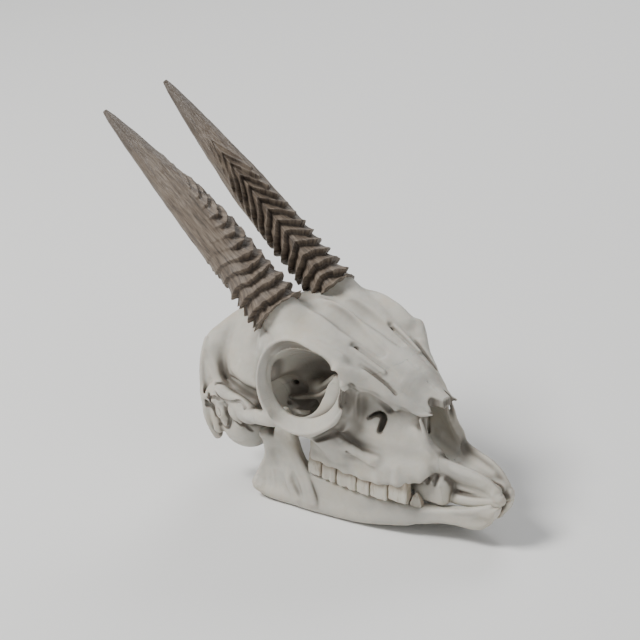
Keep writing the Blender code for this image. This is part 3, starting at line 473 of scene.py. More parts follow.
SOCKET_CREASE = (
    (60, 18.0, 6.0, 0.1, 18.0, 5.9, 0.1), (150, 15.8, 3.0, 0.1, 15.8, 2.9, 0.1),
    (168, 15.7, 0.9, 0.6, 15.4, -0.9, 0.7), (185, 15.9, 0.4, 0.9, 15.4, -1.8, 1.0),
    (205, 15.7, 0.4, 1.0, 15.2, -2.2, 1.1), (225, 15.2, 0.4, 1.0, 14.8, -2.2, 1.1),
    (245, 14.9, 0.2, 0.9, 14.7, -2.0, 0.9), (262, 15.2, 1.0, 0.6, 15.2, 0.4, 0.5),
    (280, 16.0, 4.0, 0.1, 16.0, 3.9, 0.1), (330, 18.0, 6.0, 0.1, 18.0, 5.9, 0.1),
)
# Half thickness of the room kept free inside the lip
SOCKET_HOLLOW = 1.1


def add_socket_rim(clay):
    """A cup's thin lip, its thicker outside, and a flange inside its front and bottom."""
    outside, hollow = [], []
    for angle, radius, place, thick, inner, depth, thin in SOCKET_LIP:
        outside.append((angle, radius + 0.1, place - 0.8, thick + 0.1, radius - 0.5, place - 4.0, 1.5))
        run, drop = inner - radius, depth - place
        size = math.hypot(run, drop)
        over = [radius + drop / size * (thick + SOCKET_HOLLOW), place - run / size * (thick + SOCKET_HOLLOW)]
        under = [inner + drop / size * (thin + SOCKET_HOLLOW), depth - run / size * (thin + SOCKET_HOLLOW)]
        hollow.append((angle, *over, SOCKET_HOLLOW, *under, SOCKET_HOLLOW))
    clay.add(lip(ORBIT, ORBIT_TURN, outside), 1.6)
    # Roof of the socket
    roof = [(15.4, 56, 35.6, 1.4), (17.0, 61, 38.0, 1.4), (17.2, 67, 39.0, 1.5), (16.6, 74, 38.4, 1.8)]
    clay.add(rod(roof), 3)
    clay.add(lip(ORBIT, ORBIT_TURN, SOCKET_LIP), 0.4)
    clay.cut(lip(ORBIT, ORBIT_TURN, hollow), 0.25)
    clay.cut(lip(ORBIT, ORBIT_TURN, SOCKET_CREASE), 0.8)
    clay.add(lip(ORBIT, ORBIT_TURN, SOCKET_FLANGE), 0.3)


def carve_face(clay):
    # Pit of the scent gland in front of the eye
    clay.cut(ellipsoid((18.6, 44.4, 22.0), (6.4, 7.2, 6.4), (24, 0, 20)), 2.5)
    clay.cut(ellipsoid((15.0, 47.4, 24.8), (4.6, 3.6, 3.0), (26, 0, 20)), 1.5)
    # Cheek ridge above the molars
    clay.add(rod([(17.8, 57.5, 12.6, 1.0), (17.0, 51.5, 10.0, 1.1), (14.8, 44.5, 8.2, 0.9)]), 2.2)


def carve_forehead(clay):
    # Long hollows either side of the middle
    hollow = [(3.8, 74, 46.0, 2.2), (4.0, 66, 43.5, 2.6), (4.4, 57, 39.6, 2.2), (4.4, 50, 35.6, 1.2)]
    clay.cut(rod(hollow, (1.2, 1, 1)), 2)
    # Furrow from above each eye towards the nose
    clay.cut(rod([(8.6, 55.4, 37.8, 1.2), (8.0, 50, 35.2, 1.2), (6.6, 42, 30.8, 0.8)]), 1)


def carve_temples(clay):
    """Trough above the root of the cheek arch."""
    clay.cut(rod([(21.8, 97.5, 22.0, 2.6), (21.6, 91, 19.4, 2.8), (21.2, 85, 19.4, 3.0)]), 3)


def carve_nape(clay):
    clay.cut(rod([(0, 112, 11.4, 4.2), (0, 103, 12.4, 3.8)]), 1)
    clay.cut(ellipsoid((9.5, 109.5, 22), (6.4, 3.4, 7.5)), 2)
    # Ear hole
    clay.cut(rod([(23, 97.6, 11, 1.3), (16.5, 96, 10, 1.1)]), 0.5)


def carve_jaw_joint(clay):
    """Room for the lower jaw's joint head and neck."""
    clay.cut(ellipsoid(JAW_JOINT, [radius + 0.9 for radius in JAW_JOINT_RADII]), 0.6)
    x, y, z = JAW_JOINT
    clay.cut(rod([(x, y - 0.6, z, 2.6), (x - 0.2, y - 1.2, z - 7, 2.8)]), 0.6)


def model_cranium():
    clay = Clay()
    add_braincase(clay)
    add_ear_region(clay)
    add_face(clay)
    add_forehead(clay)
    carve_eye_socket(clay)
    add_cheek_arch(clay)
    carve_face(clay)
    add_socket_rim(clay)
    carve_forehead(clay)
    carve_nose(clay)
    add_premaxilla(clay)
    carve_temples(clay)
    carve_nape(clay)
    carve_jaw_joint(clay)
    return clay


# Lower jaw

JAW_OUTLINE = (
    (11.2, -2.0), (12.2, -5.0), (15.4, -8.6), (18.4, -9.7), (22.4, -9.5), (28.0, -9.8), (38.0, -11.8),
    (51.0, -13.8), (62.0, -14.4), (78.0, -14.4), (86.0, -13.6), (88.2, -11.0), (86.0, -5.0), (83.6, 0.0),
    (84.4, 6.0), (82.6, 7.6), (80.0, 6.8), (79.0, 11.6), (78.2, 14.8), (75.4, 15.4), (73.8, 11.0),
    (72.4, 4.0), (69.6, -1.6), (60.0, -3.0), (46.0, -4.6), (40.0, -5.0), (36.0, -5.6), (31.0, -5.6),
    (28.0, -5.2), (24.0, -4.5), (16.0, -2.3),
)
# X of each half's middle, and its half thickness
JAW_MIDDLE = along_y(
    (10, 2.9), (16, 3.8), (27, 6.2), (38, 9.6), (51, 11.9), (62, 13.2), (72, 14.6), (82, 16.4)
)
JAW_HALF = along_y((10, 2.0), (18, 2.3), (30, 2.4), (45, 3.0), (62, 3.0), (70, 2.2), (76, 1.4), (90, 1.4))


def model_jaw():
    clay = Clay((-2.1, 4.0, -18.0), (26.0, 96.0, 27.0))
    clay.add(plate(np.array(JAW_OUTLINE), JAW_MIDDLE, JAW_HALF, 1.3), 0)
    # Joint head under the root of the cheek arch
    clay.add(ellipsoid(JAW_JOINT, JAW_JOINT_RADII), 1.5)
    # Thick lower border
    border = [(9.6, 38, -9.6, 2.2), (12.2, 51, -11.8, 2.4), (14.2, 64, -12.2, 2.1), (16.2, 78, -12.3, 1.9)]
    clay.add(rod(border + [(17.4, 86, -10.6, 1.8)]), 2)
    # Ridge that bounds the chewing muscle
    clay.add(rod([(15.8, 73, 2.6, 1.0), (16.6, 75, -6, 1.0), (17.0, 71.5, -11.4, 1.3)]), 1.5)
    clay.cut(ellipsoid((20.0, 81.0, -5.4), (3.4, 4.6, 5.8)), 1.5)
    return clay


# Fine forms that only the render has

def detail_orbit(clay):
    # Notch and slit of the tear duct
    clay.cut(rod([(24.6, 52.6, 34.6, 1.0), (19.8, 54.0, 33.4, 1.1), (15.6, 57.4, 31.6, 1.2)]), 0.4)
    clay.cut(rod([(20.6, 52.4, 33.2, 0.4), (19.4, 50.0, 32.6, 0.3)], (1.6, 1, 0.8)), 0.2)
    # Tongue and ledges low in the inner wall
    tongue = [(8.8, 72.0, 19.2, 0.8), (9.0, 67.4, 22.0, 1.2), (9.8, 63.6, 24.6, 1.5), (11.4, 60.6, 27.2, 1.4)]
    clay.add(rod(tongue + [(13.6, 58.4, 29.2, 1.0)]), 0.6)
    clay.cut(rod([(8.8, 76.6, 14.6, 0.5), (11.0, 70.4, 19.0, 0.6), (12.4, 65.3, 22.0, 0.7)]), 0.25)
    ledge = [(9.0, 79.6, 15.6, 0.5), (9.4, 76.0, 16.6, 0.8), (9.6, 71.6, 18.2, 0.9), (11.2, 66.2, 20.6, 0.9)]
    clay.add(rod(ledge + [(12.6, 61.4, 24.4, 0.8)]), 0.5)
    clay.cut(rod([(x + 0.6, y, z - 1.6, r * 0.8) for x, y, z, r in ledge]), 0.4)
    clay.add(rod([(9.6, 77.4, 12.0, 0.6), (10.4, 73.6, 12.8, 0.8), (12.0, 70.0, 14.6, 0.6)]), 0.5)
    # Optic hole
    clay.cut(rod([(9.6, 77.5, 20.4, 0.9), (4.0, 79.5, 19.6, 0.8)]), 0.5)


# Ledge from the eye socket to the nasal bone
SHELF = (
    (18.6, 52.1, 29.7), (16.0, 50.7, 28.1), (13.0, 48.5, 27.2), (12.0, 46.9, 26.1), (10.5, 44.8, 24.9),
    (9.6, 43.4, 23.6), (9.0, 41.6, 21.9),
)


def detail_face(clay):
    # Sharp edge of the ledge over the gland pit
    clay.add(rod([(x - 0.2, y + 0.1, z + 0.5, 0.9) for x, y, z in SHELF]), 1.2)
    under = [(x - 0.3, y + 0.2, z - 1.9, 1.5) for x, y, z in SHELF[:-1]]
    clay.cut(rod(under), 0.2)
    clay.cut(ellipsoid((16.8, 51.2, 22.6), (2.6, 3.0, 4.6), (0, 0, 24)), 1.4)
    clay.cut(ellipsoid((18.2, 50.4, 17.4), (2.8, 2.8, 4.4)), 1.6)
    clay.cut(ellipsoid((17.4, 50.6, 25.6), (2.8, 3.6, 3.2), (0, 0, 24)), 1.0)
    clay.cut(ellipsoid((14.8, 47.0, 23.4), (2.6, 4.2, 3.2), (10, 0, 24)), 2.0)
    # Cheek hole in the shape of a hook
    hook = [(11.8, 48.9, 18.5, 0.45), (10.8, 47.4, 19.6, 0.6), (10.1, 46.0, 19.8, 0.75)]
    hook += [(10.3, 44.8, 18.8, 0.9), (11.3, 44.7, 17.4, 0.95), (12.2, 44.8, 15.8, 0.75)]
    for deeper in (0.0, 1.0, 2.0):
        clay.cut(rod([(x - deeper, y + 0.4 * deeper, z, r) for x, y, z, r in hook]), 0.2)
    # Rough crest of the cheek over the molars, undercut
    crest = [(17.8, 55.0, 13.4, 0.5), (17.2, 52.4, 11.6, 0.7), (16.6, 50.6, 10.4, 1.0)]
    crest += [(16.2, 49.0, 9.4, 0.6), (16.0, 47.4, 8.2, 0.7), (15.5, 45.6, 7.4, 1.1), (15.0, 44.4, 6.8, 0.5)]
    clay.add(rod(crest), 1.0)
    under = [(18.0, 52.0, 9.6, 0.5), (17.4, 49.6, 7.8, 0.6), (16.6, 46.8, 6.0, 0.7), (15.9, 44.6, 5.8, 0.5)]
    clay.cut(rod(under), 0.35)
    # Bone comes down over the roots of the teeth
    sockets = [(11.8, 37.4, 2.6, 1.7), (13.8, 45.0, 2.2, 1.8), (14.7, 54.0, 2.9, 1.8), (15.2, 64.0, 4.0, 1.8)]
    clay.add(rod(sockets), 1.5)
    for (x, y), _, length, depth, _ in tooth_places(UPPER_ROW_FRONT, UPPER_TEETH, UPPER_WALL):
        x += depth / 2 - 0.5
        clay.add(rod([(x, y, BITE(y) + 5.0, 1.15), (x - 0.5, y + 0.3, BITE(y) + 9.0, 0.6)]), 1.4)


def detail_nose(clay):
    """Edges of the nasal bones, with a notch between their middle and side points."""
    lower = [(8.8, 40.4, 24.4, 0.6), (8.2, 37.9, 23.6, 0.6), (7.6, 36.4, 22.2, 0.6), (6.9, 34.4, 21.4, 0.5)]
    clay.add(rod(lower + [(5.8, 31.6, 21.8, 0.35)]), 0.8)
    clay.cut(rod([(9.3, 39.2, 22.6, 0.7), (8.4, 36.2, 20.9, 0.6), (7.6, 34.4, 19.9, 0.5)]), 0.3)
    clay.cut(rod([(3.6, 24.6, 22.6, 2.9), (3.5, 28.4, 22.8, 2.3), (3.4, 33.2, 23.2, 1.1)], (1, 1, 3)), 0.2)
    # The bone is thin at its front edge
    clay.cut(rod([(0, 26.0, 19.6, 1.7), (0, 31.5, 20.9, 1.5), (0, 37, 21.6, 1.1)], (2.6, 1, 1)), 0.3)
    clay.cut(rod([(-2, 27.0, 25.4, 1.8), (5, 27.0, 24.6, 1.8)]), 0.4)
    # Slit deep in the side wall
    for deeper in (0.0, 1.3, 2.6, 3.9):
        x, y, z = 0.72 * deeper, 0.54 * deeper, -0.44 * deeper
        clay.cut(rod([(4.2 + x, 40.4 + y, 15.4 + z, 0.5), (2.9 + x, 39.5 + y, 10.8 + z, 0.5)]), 0.2)
    # Thin front edge of the cheek bone beside the nose
    edge = [(7.0, 34.6, 20.0, 0.5), (7.0, 33.4, 16.4, 0.6), (6.8, 32.2, 12.4, 0.6), (6.3, 30.0, 9.6, 0.5)]
    clay.add(rod(edge), 0.8)


def detail_palate(clay):
    # Lumps on the bulb beside the arch
    for y, z in ((33.6, 2.6), (31.2, 3.4), (28.6, 2.8)):
        clay.add(rod([(5.6, y, z + 0.8, 1.1), (7.2, y - 0.3, z - 1.0, 0.8)]), 0.3)
    for y in (32.4, 29.9):
        clay.cut(rod([(6.8, y, 4.4, 0.5), (7.9, y, 1.6, 0.5)]), 0.2)
    # Slit between the two halves of the muzzle
    clay.cut(rod([(0, 9, 2.6, 0.35), (0, 13.6, 2.8, 0.3), (0, 16, 3.6, 0.1)], (1, 1, 7)), 0.2)
    clay.add(ellipsoid((2.3, 11.5, 0.9), (1.3, 1.1, 1.0)), 0.5)
    clay.add(ellipsoid((2.5, 12.8, -1.6), (1.2, 1.5, 0.9)), 0.5)


# Creases between the knobs and strips of the ear region
EAR_CREASES = (
    ((17.0, 95.1, 20.9), (18.0, 90.7, 20.9), (18.0, 87.1, 20.0), (17.6, 84.0, 19.2)),
    ((20.4, 98.7, 19.2), (18.8, 95.0, 18.9), (18.4, 92.9, 18.2), (18.4, 88.8, 17.0), (19.0, 84.6, 15.7)),
    ((21.3, 97.1, 16.9), (21.0, 95.1, 15.4), (21.4, 91.5, 15.6), (21.5, 87.8, 16.8), (22.1, 85.5, 15.6)),
    (
        (20.9, 94.8, 15.2), (20.8, 93.6, 13.8), (19.8, 94.0, 10.4),
        (19.4, 94.2, 7.6), (19.2, 95.6, 5.5), (18.1, 99.0, 5.1),
    ),
    ((20.7, 90.6, 9.2), (19.4, 89.2, 8.4), (20.4, 86.8, 11.0), (22.0, 85.0, 13.4)),
    ((18.2, 89.1, 7.6), (17.5, 87.6, 6.1), (17.0, 84.6, 5.4)),
    ((20.9, 100.9, 14.1), (21.2, 98.1, 15.2), (21.0, 96.4, 14.8)),
    ((19.7, 102.7, 10.7), (19.3, 101.0, 10.9), (18.9, 100.3, 9.9)),
)


def detail_ear_region(clay):
    # Trough above the root of the cheek arch, with sharp edges
    trough = [(18.6, 103.0, 27.6, 0.9), (19.3, 101.0, 24.9, 1.4), (19.8, 96.4, 21.9, 1.9)]
    clay.cut(rod(trough + [(20.6, 90.0, 19.8, 1.9), (21.0, 84.0, 19.0, 1.5)]), 0.5)
    # Rough strip under it
    strip = [(19.2, 99.2, 18.4, 1.0), (19.8, 96.2, 17.6, 1.9), (20.0, 92.4, 16.6, 1.7)]
    clay.add(rod(strip + [(20.2, 88.6, 16.4, 1.5), (20.6, 84.6, 14.8, 1.5)]), 0.5)
    # Finger-shaped knobs round the ear hole
    clay.add(rod([(18.8, 98.4, 13.4, 1.4), (19.3, 96.8, 10.2, 1.6), (19.0, 95.6, 7.0, 1.3)]), 0.35)
    clay.add(rod([(19.4, 93.6, 13.6, 1.5), (19.8, 91.2, 11.4, 1.8), (19.4, 89.8, 9.6, 1.3)]), 0.35)
    clay.add(rod([(18.8, 92.0, 8.0, 1.0), (18.9, 90.4, 7.4, 1.0)]), 0.3)
    clay.add(rod([(19.8, 88.2, 12.0, 1.3), (19.6, 86.0, 10.6, 1.1)]), 0.35)
    clay.add(rod([(18.0, 101.6, 9.4, 0.9), (18.2, 101.0, 7.4, 0.8)]), 0.3)
    clay.cut(rod([(21.0, 100.2, 15.6, 0.5), (19.6, 100.2, 12.0, 0.6), (19.0, 99.6, 8.0, 0.5)]), 0.3)
    clay.cut(rod([(20.4, 94.6, 8.4, 0.4), (20.6, 93.4, 11.6, 0.4), (20.4, 94.6, 14.2, 0.3)]), 0.3)
    for line in EAR_CREASES:
        clay.cut(rod([(x, y, z, 0.45) for x, y, z in line]), 0.2)
    # Raised rim at the side of the nape
    rim = [(15.8, 104.6, 30.2, 0.8), (18.2, 104.4, 25, 0.9), (19.0, 104.4, 19, 0.9), (18.6, 104.4, 12, 1.0)]
    clay.add(rod(rim), 0.6)
    clay.cut(rod([(19.8, 102.6, 22.6, 0.6), (19.9, 102.4, 17.0, 0.7), (19.6, 102.2, 11.4, 0.5)]), 0.8)


def detail_braincase(clay):
    # Furrows that spread from the back of the eye socket
    for y, z, run in ((83.0, 30.2, 7.0), (83.6, 27.2, 9.0), (83.6, 24.4, 10.0)):
        end = (17.4, y + run, z + run * 0.62, 0.2)
        clay.cut(rod([(19.6, y, z, 0.6), (19.2, y + run * 0.5, z + run * 0.34, 0.5), end]), 1.4)
    clay.add(rod([(17.6, 84.0, 21.8, 1.2), (17.8, 88.4, 22.6, 1.0), (17.2, 93.0, 24.4, 0.6)]), 2.4)
    # Line between the braincase and the frontal bone, behind the brow
    line = [(16.4, 82.6, 40.8, 0.35), (17.3, 81.4, 40.2, 0.35), (18.9, 78.2, 39.6, 0.35)]
    clay.cut(rod(line + [(20.8, 74.9, 39.0, 0.25)]), 0.3)
    # Ridges of the nape
    clay.add(rod([(6.0, 105.4, 29.0, 0.8), (9.0, 106.0, 24.0, 0.8), (10.6, 105.6, 18.0, 0.6)]), 1.2)


def detail_forehead(clay):
    # Holes above the eyes, each with a furrow and a ridge towards the nose
    clay.cut(rod([(8.2, 54.6, 37.4, 0.55), (8.2, 56.6, 35.0, 0.6)]), 0.2)
    clay.cut(rod([(8.1, 54.4, 37.0, 0.6), (7.8, 50.4, 35.0, 0.5), (7.0, 45.0, 32.2, 0.3)]), 0.6)
    clay.add(rod([(9.4, 55.4, 36.6, 0.5), (9.2, 52.0, 34.9, 0.7), (8.2, 46.0, 31.8, 0.5)]), 1.0)
    # Crease from the brow to the side of the nose
    crease = [(11.6, 51.0, 34.0, 0.5), (10.8, 48.0, 31.9, 0.6), (10.0, 44.6, 29.4, 0.5)]
    clay.cut(rod(crease + [(9.4, 41.0, 27.0, 0.3)]), 0.6)
    clay.add(rod([(12.6, 49.4, 31.8, 0.8), (11.6, 46.2, 29.4, 0.8), (10.4, 43.0, 27.0, 0.6)]), 1.4)
    # Scratches left by vessels beside the horns
    for x, y, z in ((13.4, 66.5, 40.6), (15.2, 68.6, 40.4), (16.8, 70.8, 40.0)):
        scratch = [(x, y, z, 0.3), (x - 0.8, y + 3.2, z + 1.6, 0.3), (x - 0.6, y + 6.0, z + 3.2, 0.2)]
        clay.cut(rod(scratch), 0.5)
    # Roughened collar under each horn sheath
    for step in range(5):
        turn = 1.25 * step
        x, y = 11.6 + 5.2 * math.cos(turn), 78.8 + 4.4 * math.sin(turn)
        clay.add(ellipsoid((x, y, 42.6 + 0.16 * (78.8 - y)), (0.9, 0.9, 0.7)), 0.7)


def detail_jaw(clay):
    # Sharp ridge that bounds the chewing muscle, with a hollow behind it
    ridge = [(16.6, 75.8, 7.4, 0.5), (16.2, 73.0, 3.4, 0.8), (16.0, 70.8, -0.2, 0.9), (16.6, 68.2, -3.6, 1.0)]
    ridge += [(16.9, 66.4, -7.8, 1.1), (16.8, 65.4, -11.0, 1.1)]
    clay.add(rod([(x - 0.4, y + 2.0, z, r + 0.2) for x, y, z, r in ridge]), 2.5)
    clay.add(rod(ridge), 0.4)
    clay.cut(ellipsoid((19.4, 76.4, -1.0), (2.6, 4.6, 5.2)), 1.0)
    for step in range(3):
        clay.add(rod([(16.4, 81 + 1.8 * step, -5.5, 0.2), (17.2, 80 + 2.0 * step, -10.5, 0.3)]), 1.2)
    clay.cut(rod([(17.6, 79.2, 0.8, 0.8), (17.6, 78.4, -2.0, 0.6)]), 3.0)
    # The palate rests between the two halves
    clay.cut(rod([(x, y, z, r + PALATE_ROOM) for x, y, z, r in PALATE_RAIL], (0.9, 1, 1)), 0.2)
    clay.cut(block(PALATE_BULB, [half + PALATE_ROOM for half in PALATE_BULB_HALF], 2.8), 0.2)
    # Chin: ridges that meet at the front, with a flat face below
    chin = [(7.4, 25.0, -5.2, 0.6), (6.6, 21.0, -4.5, 0.9), (5.6, 17.4, -3.5, 1.0), (4.2, 13.6, -2.0, 0.8)]
    clay.add(rod(chin), 0.5)
    clay.add(rod([(4.6, 21.4, -9.0, 0.8), (4.0, 17.6, -9.2, 1.0), (2.6, 15.0, -7.6, 0.8)]), 0.8)
    clay.cut(ellipsoid((7.4, 15.6, -6.4), (2.0, 4.2, 1.9), (0, 0, -24)), 0.7)
    # Sockets of the front teeth, which are lost
    for step in range(4):
        x = 0.8 + 0.75 * step
        clay.cut(rod([(x, 11.4 + 0.3 * step, -0.8, 0.32), (x * 0.9, 13.6, -3.0, 0.25)]), 0.15)


# Sutures: planes as in the part's source, most of them a little wavy

BACK_CUT = ((0, 84.0, 30.0), (0, 1, -0.26))
BROW_CUT = ((0, 51.0, 30.5), (0, 0.34, 0.94))
NOSE_CUT = ((0, 46.0, 26.0), (0, -0.46, 0.89))
NOSE_SIDE_CUT = ((6.7, 36.0, 20.0), (-0.96, 0.28, 0))
SNOUT_CUT = ((0, 28.6, 7.0), (0, -0.92, 0.12))
MIDDLE_CUT = ((0, 0, 0), (1, 0, 0))


def beyond(cut, lengths=(1, 1, 1), amount=0.0, wave=2.6):
    """Distance past a wavy plane. Lengths weight how x, y and z run along the wave."""
    point, normal = cut
    size = math.sqrt(sum(n * n for n in normal))

    def distance(x, y, z):
        flat = sum(n / size * (p - c) for n, p, c in zip(normal, (x, y, z), point))
        if amount == 0:
            return flat
        run = 2 * math.pi * (lengths[0] * x + lengths[1] * y + lengths[2] * z) / wave
        return flat + amount * np.sin(run + 1.4 * np.sin(run * 0.37))

    return distance


def mirrored(distance):
    return lambda x, y, z: distance(-x, y, z)


BACK = beyond(BACK_CUT, (1, 0, 0.6), 0.10, 4.4)
BROW = beyond(BROW_CUT, (1, 0.3, 0), 0.10, 4.6)
NOSE = beyond(NOSE_CUT)
NOSE_SIDE = beyond(NOSE_SIDE_CUT, (0, 1, 0.5), 0.06, 4.6)
SNOUT = beyond(SNOUT_CUT)
MIDDLE = beyond(MIDDLE_CUT, (0, 1, 0.7), 0.07, 4.2)


def ahead(distance):
    return lambda x, y, z: GAP / 2 - distance(x, y, z)


def behind(distance):
    return lambda x, y, z: GAP / 2 + distance(x, y, z)


def outside_corner(first, second):
    return lambda x, y, z: np.minimum(GAP / 2 + first(x, y, z), GAP / 2 + second(x, y, z))


def bone_limits():
    """The limits that part each bone from the cranium."""
    bones = {"braincase": [ahead(BACK)], "frontal": [behind(BACK), ahead(BROW)]}
    for side in ("left", "right"):
        turn = mirrored if side == "right" else (lambda distance: distance)
        half = [behind(BACK), behind(BROW), ahead(MIDDLE) if side == "left" else behind(MIDDLE)]
        nose_side = turn(NOSE_SIDE)
        bones[f"premaxilla_{side}"] = half + [ahead(SNOUT)]
        bones[f"nasal_{side}"] = half + [behind(SNOUT), ahead(NOSE), ahead(nose_side)]
        bones[f"maxilla_{side}"] = half + [behind(SNOUT), outside_corner(NOSE, nose_side)]
    return bones


# Skins

def whole_lattice(clay):
    """The clay of both sides, mirrored from the left half."""
    start = int(np.searchsorted(clay.axes[0], -1e-4))
    both = Clay.__new__(Clay)
    both.pitch = clay.pitch
    right = -clay.axes[0][:start - 1:-1] if start else -clay.axes[0][::-1]
    line = clay.axes[0][start:]
    both.axes = [np.concatenate([-line[:0:-1], line]).astype(np.float32), clay.axes[1], clay.axes[2]]
    half = clay.field[start:]
    both.field = np.concatenate([half[:0:-1], half])
    return both


def sample(clay, points):
    """The clay's signed distance at points, by trilinear interpolation."""
    places = []
    for line, column in zip(clay.axes, points.T):
        places.append(np.clip((column - line[0]) / clay.pitch, 0, len(line) - 1.001))
    base = [place.astype(int) for place in places]
    part = [place - whole for place, whole in zip(places, base)]
    total = 0
    for dx in (0, 1):
        for dy in (0, 1):
            for dz in (0, 1):
                weight = (part[0] if dx else 1 - part[0]) * (part[1] if dy else 1 - part[1])
                weight = weight * (part[2] if dz else 1 - part[2])
                total = total + weight * clay.field[base[0] + dx, base[1] + dy, base[2] + dz]
    return total


def polygons(clay):
    """Points and quads of the clay's surface."""
    inside = clay.field < clay.pitch
    spans = []
    for axis in range(3):
        used = np.flatnonzero(inside.any(axis=tuple(a for a in range(3) if a != axis)))
        spans.append(slice(max(used[0] - 2, 0), used[-1] + 3))
    limit = 3 * clay.pitch
    field = np.pad(np.clip(clay.field[tuple(spans)], -limit, limit), 1, constant_values=limit)
    low = np.array([line[span.start] for line, span in zip(clay.axes, spans)]) - clay.pitch
    grid = openvdb.FloatGrid(background=limit)
    grid.copyFromArray(field.astype(np.float32))
    points, triangles, quads = grid.convertToPolygons(isovalue=0.0, adaptivity=0.0)
    return points.astype(float) * clay.pitch + low, quads[:, ::-1].astype(int)


def quad_sides(quads):
    return np.concatenate([quads[:, [0, 1]], quads[:, [1, 2]], quads[:, [2, 3]], quads[:, [3, 0]]])


def largest_surface(points, quads):
    """Drops all but the largest closed surface."""
    labels = np.arange(len(points))
    edges = quad_sides(quads)
    while True:
        lowest = np.minimum(labels[edges[:, 0]], labels[edges[:, 1]])
        fresh = labels.copy()
        np.minimum.at(fresh, edges[:, 0], lowest)
        np.minimum.at(fresh, edges[:, 1], lowest)
        fresh = fresh[fresh]
        if np.array_equal(fresh, labels):
            break
        labels = fresh
    kept = labels == np.bincount(labels).argmax()
    number = np.cumsum(kept) - 1
    return points[kept], number[quads[kept[quads[:, 0]]]]


def edge_list(quads):
    return np.unique(np.sort(quad_sides(quads), axis=1), axis=0)


def relaxed(values, edges, rounds, share=0.5):
    """Values at points, averaged with their neighbours' along the edges."""
    count = np.bincount(edges.ravel(), minlength=len(values))[:, None]
    values = values.reshape(len(values), -1)
    for _ in range(rounds):
        total = np.zeros_like(values)
        for column in range(values.shape[1]):
            total[:, column] = np.bincount(edges[:, 0], values[edges[:, 1], column], len(values))
            total[:, column] += np.bincount(edges[:, 1], values[edges[:, 0], column], len(values))
        values = values + share * (total / np.maximum(count, 1) - values)
    return values


def point_normals(points, quads):
    across = np.cross(points[quads[:, 2]] - points[quads[:, 0]], points[quads[:, 3]] - points[quads[:, 1]])
    normals = np.zeros_like(points)
    for corner in range(4):
        for column in range(3):
            normals[:, column] += np.bincount(quads[:, corner], across[:, column], len(points))
    return normals / np.maximum(np.linalg.norm(normals, axis=1, keepdims=True), 1e-9)


def fractal(points, length, octaves=3, offset=0.0):
    """Smooth noise of about this wavelength at each point, between about -1 and 1."""
    scaled = (points + offset) / length
    return np.array([noise.fractal(Vector(p), 0.8, 2.1, octaves) for p in scaled.tolist()])


def within(points, centre, radii):
    """1 in the middle of an egg-shaped place, 0 outside it. X counts the same on both sides."""
    offset = np.abs(points[:, 0]) - centre[0], points[:, 1] - centre[1], points[:, 2] - centre[2]
    near = np.sqrt(sum((o / r) ** 2 for o, r in zip(offset, radii)))
    t = np.clip((1 - near) / 0.5, 0, 1)
    return t * t * (3 - 2 * t)


def bone_relief(points):
    """How far each point of bone stands out, in millimetres."""
    relief = 0.10 * fractal(points, 7.0) + 0.035 * fractal(points, 1.5, 2, 40.0)
    # Rough places where muscles held on
    rough = 0.26 * fractal(points, 1.7, 3, 15.0)
    for centre, radii in ROUGH_PLACES:
        relief += rough * within(points, centre, radii)
    # Ribs that fan out under the roof of the eye socket
    x, y, z = ORBIT
    fan = np.arctan2(points[:, 2] - z - 3, points[:, 1] - y + 6)
    ribs = np.sin(fan * 46 + 3 * fractal(points, 4.0, 1))
    relief += 0.11 * ribs * within(points, (x - 9, y + 3, z + 6), (9, 9, 7.5))
    return relief


ROUGH_PLACES = (
    ((18.4, 98, 15), (4, 9, 5)), ((17.4, 50, 11), (3, 9, 3)), ((11, 106, 24), (8, 4, 10)),
    ((12, 77, 40), (8, 6, 4)), ((17, 86, -10), (4, 5, 5)), ((3, 12, 1), (3, 3, 3)),
)


# Painted shade in the eye sockets: radius of its place, where it starts under the rim, and its run to the
# full
SOCKET_SHADE_RADIUS = 14.5
SOCKET_SHADE_START = 1.6
SOCKET_SHADE_RUN = 4.0
SOCKET_SHADE_FRONT_Y = 50


def socket_shade(points):
    """1 deep inside an eye socket, 0 outside: the weight of the painted shade there."""
    across, along, upward = turned(turn_matrix(ORBIT_TURN), ORBIT, np.abs(points[:, 0]), *points.T[1:])
    inside = np.clip(SOCKET_SHADE_RADIUS - np.hypot(along, upward), 0, 1) * (points[:, 1] > SOCKET_SHADE_FRONT_Y)
    return inside * np.clip((-across - SOCKET_SHADE_START) / SOCKET_SHADE_RUN, 0, 1)


def new_piece(name, points, quads, material, attributes):
    """A mesh in metres in the row's frame. Attributes are values at its points, given by name."""
    mesh = bpy.data.meshes.new(name)
    mesh.vertices.add(len(points))
    mesh.vertices.foreach_set("co", ((points + SHIFT) * MM).astype(np.float32).ravel())
    mesh.loops.add(quads.size)
    mesh.loops.foreach_set("vertex_index", quads.astype(np.int32).ravel())
    mesh.polygons.add(len(quads))
    mesh.polygons.foreach_set("loop_start", np.arange(0, quads.size, 4, dtype=np.int32))
    mesh.update(calc_edges=True)
    mesh.polygons.foreach_set("use_smooth", np.ones(len(quads), bool))
    for key, values in attributes.items():
        kind = "FLOAT_VECTOR" if values.ndim == 2 else "FLOAT"
        layer = mesh.attributes.new(key, kind, "POINT")
        layer.data.foreach_set("vector" if values.ndim == 2 else "value", values.astype(np.float32).ravel())
    mesh.materials.append(material)
    piece = bpy.data.objects.new(name, mesh)
    bpy.context.scene.collection.objects.link(piece)
    return piece


def slope(value, points):
    """Gradient of a function of x, y and z at points, by central differences."""
    columns = []
    for axis in range(3):
        step = np.zeros(3)
        step[axis] = PITCH / 2
        ahead_of, back_of = points + step, points - step
        columns.append((value(*ahead_of.T) - value(*back_of.T)) / PITCH)
    return np.stack(columns, -1)


def onto(value, points):
    """Points moved along the slope to where the value is 0."""
    grade = slope(value, points)
    steep = np.maximum((grade**2).sum(axis=1), 0.05)
    return points - grade * (value(*points.T) / steep)[:, None]


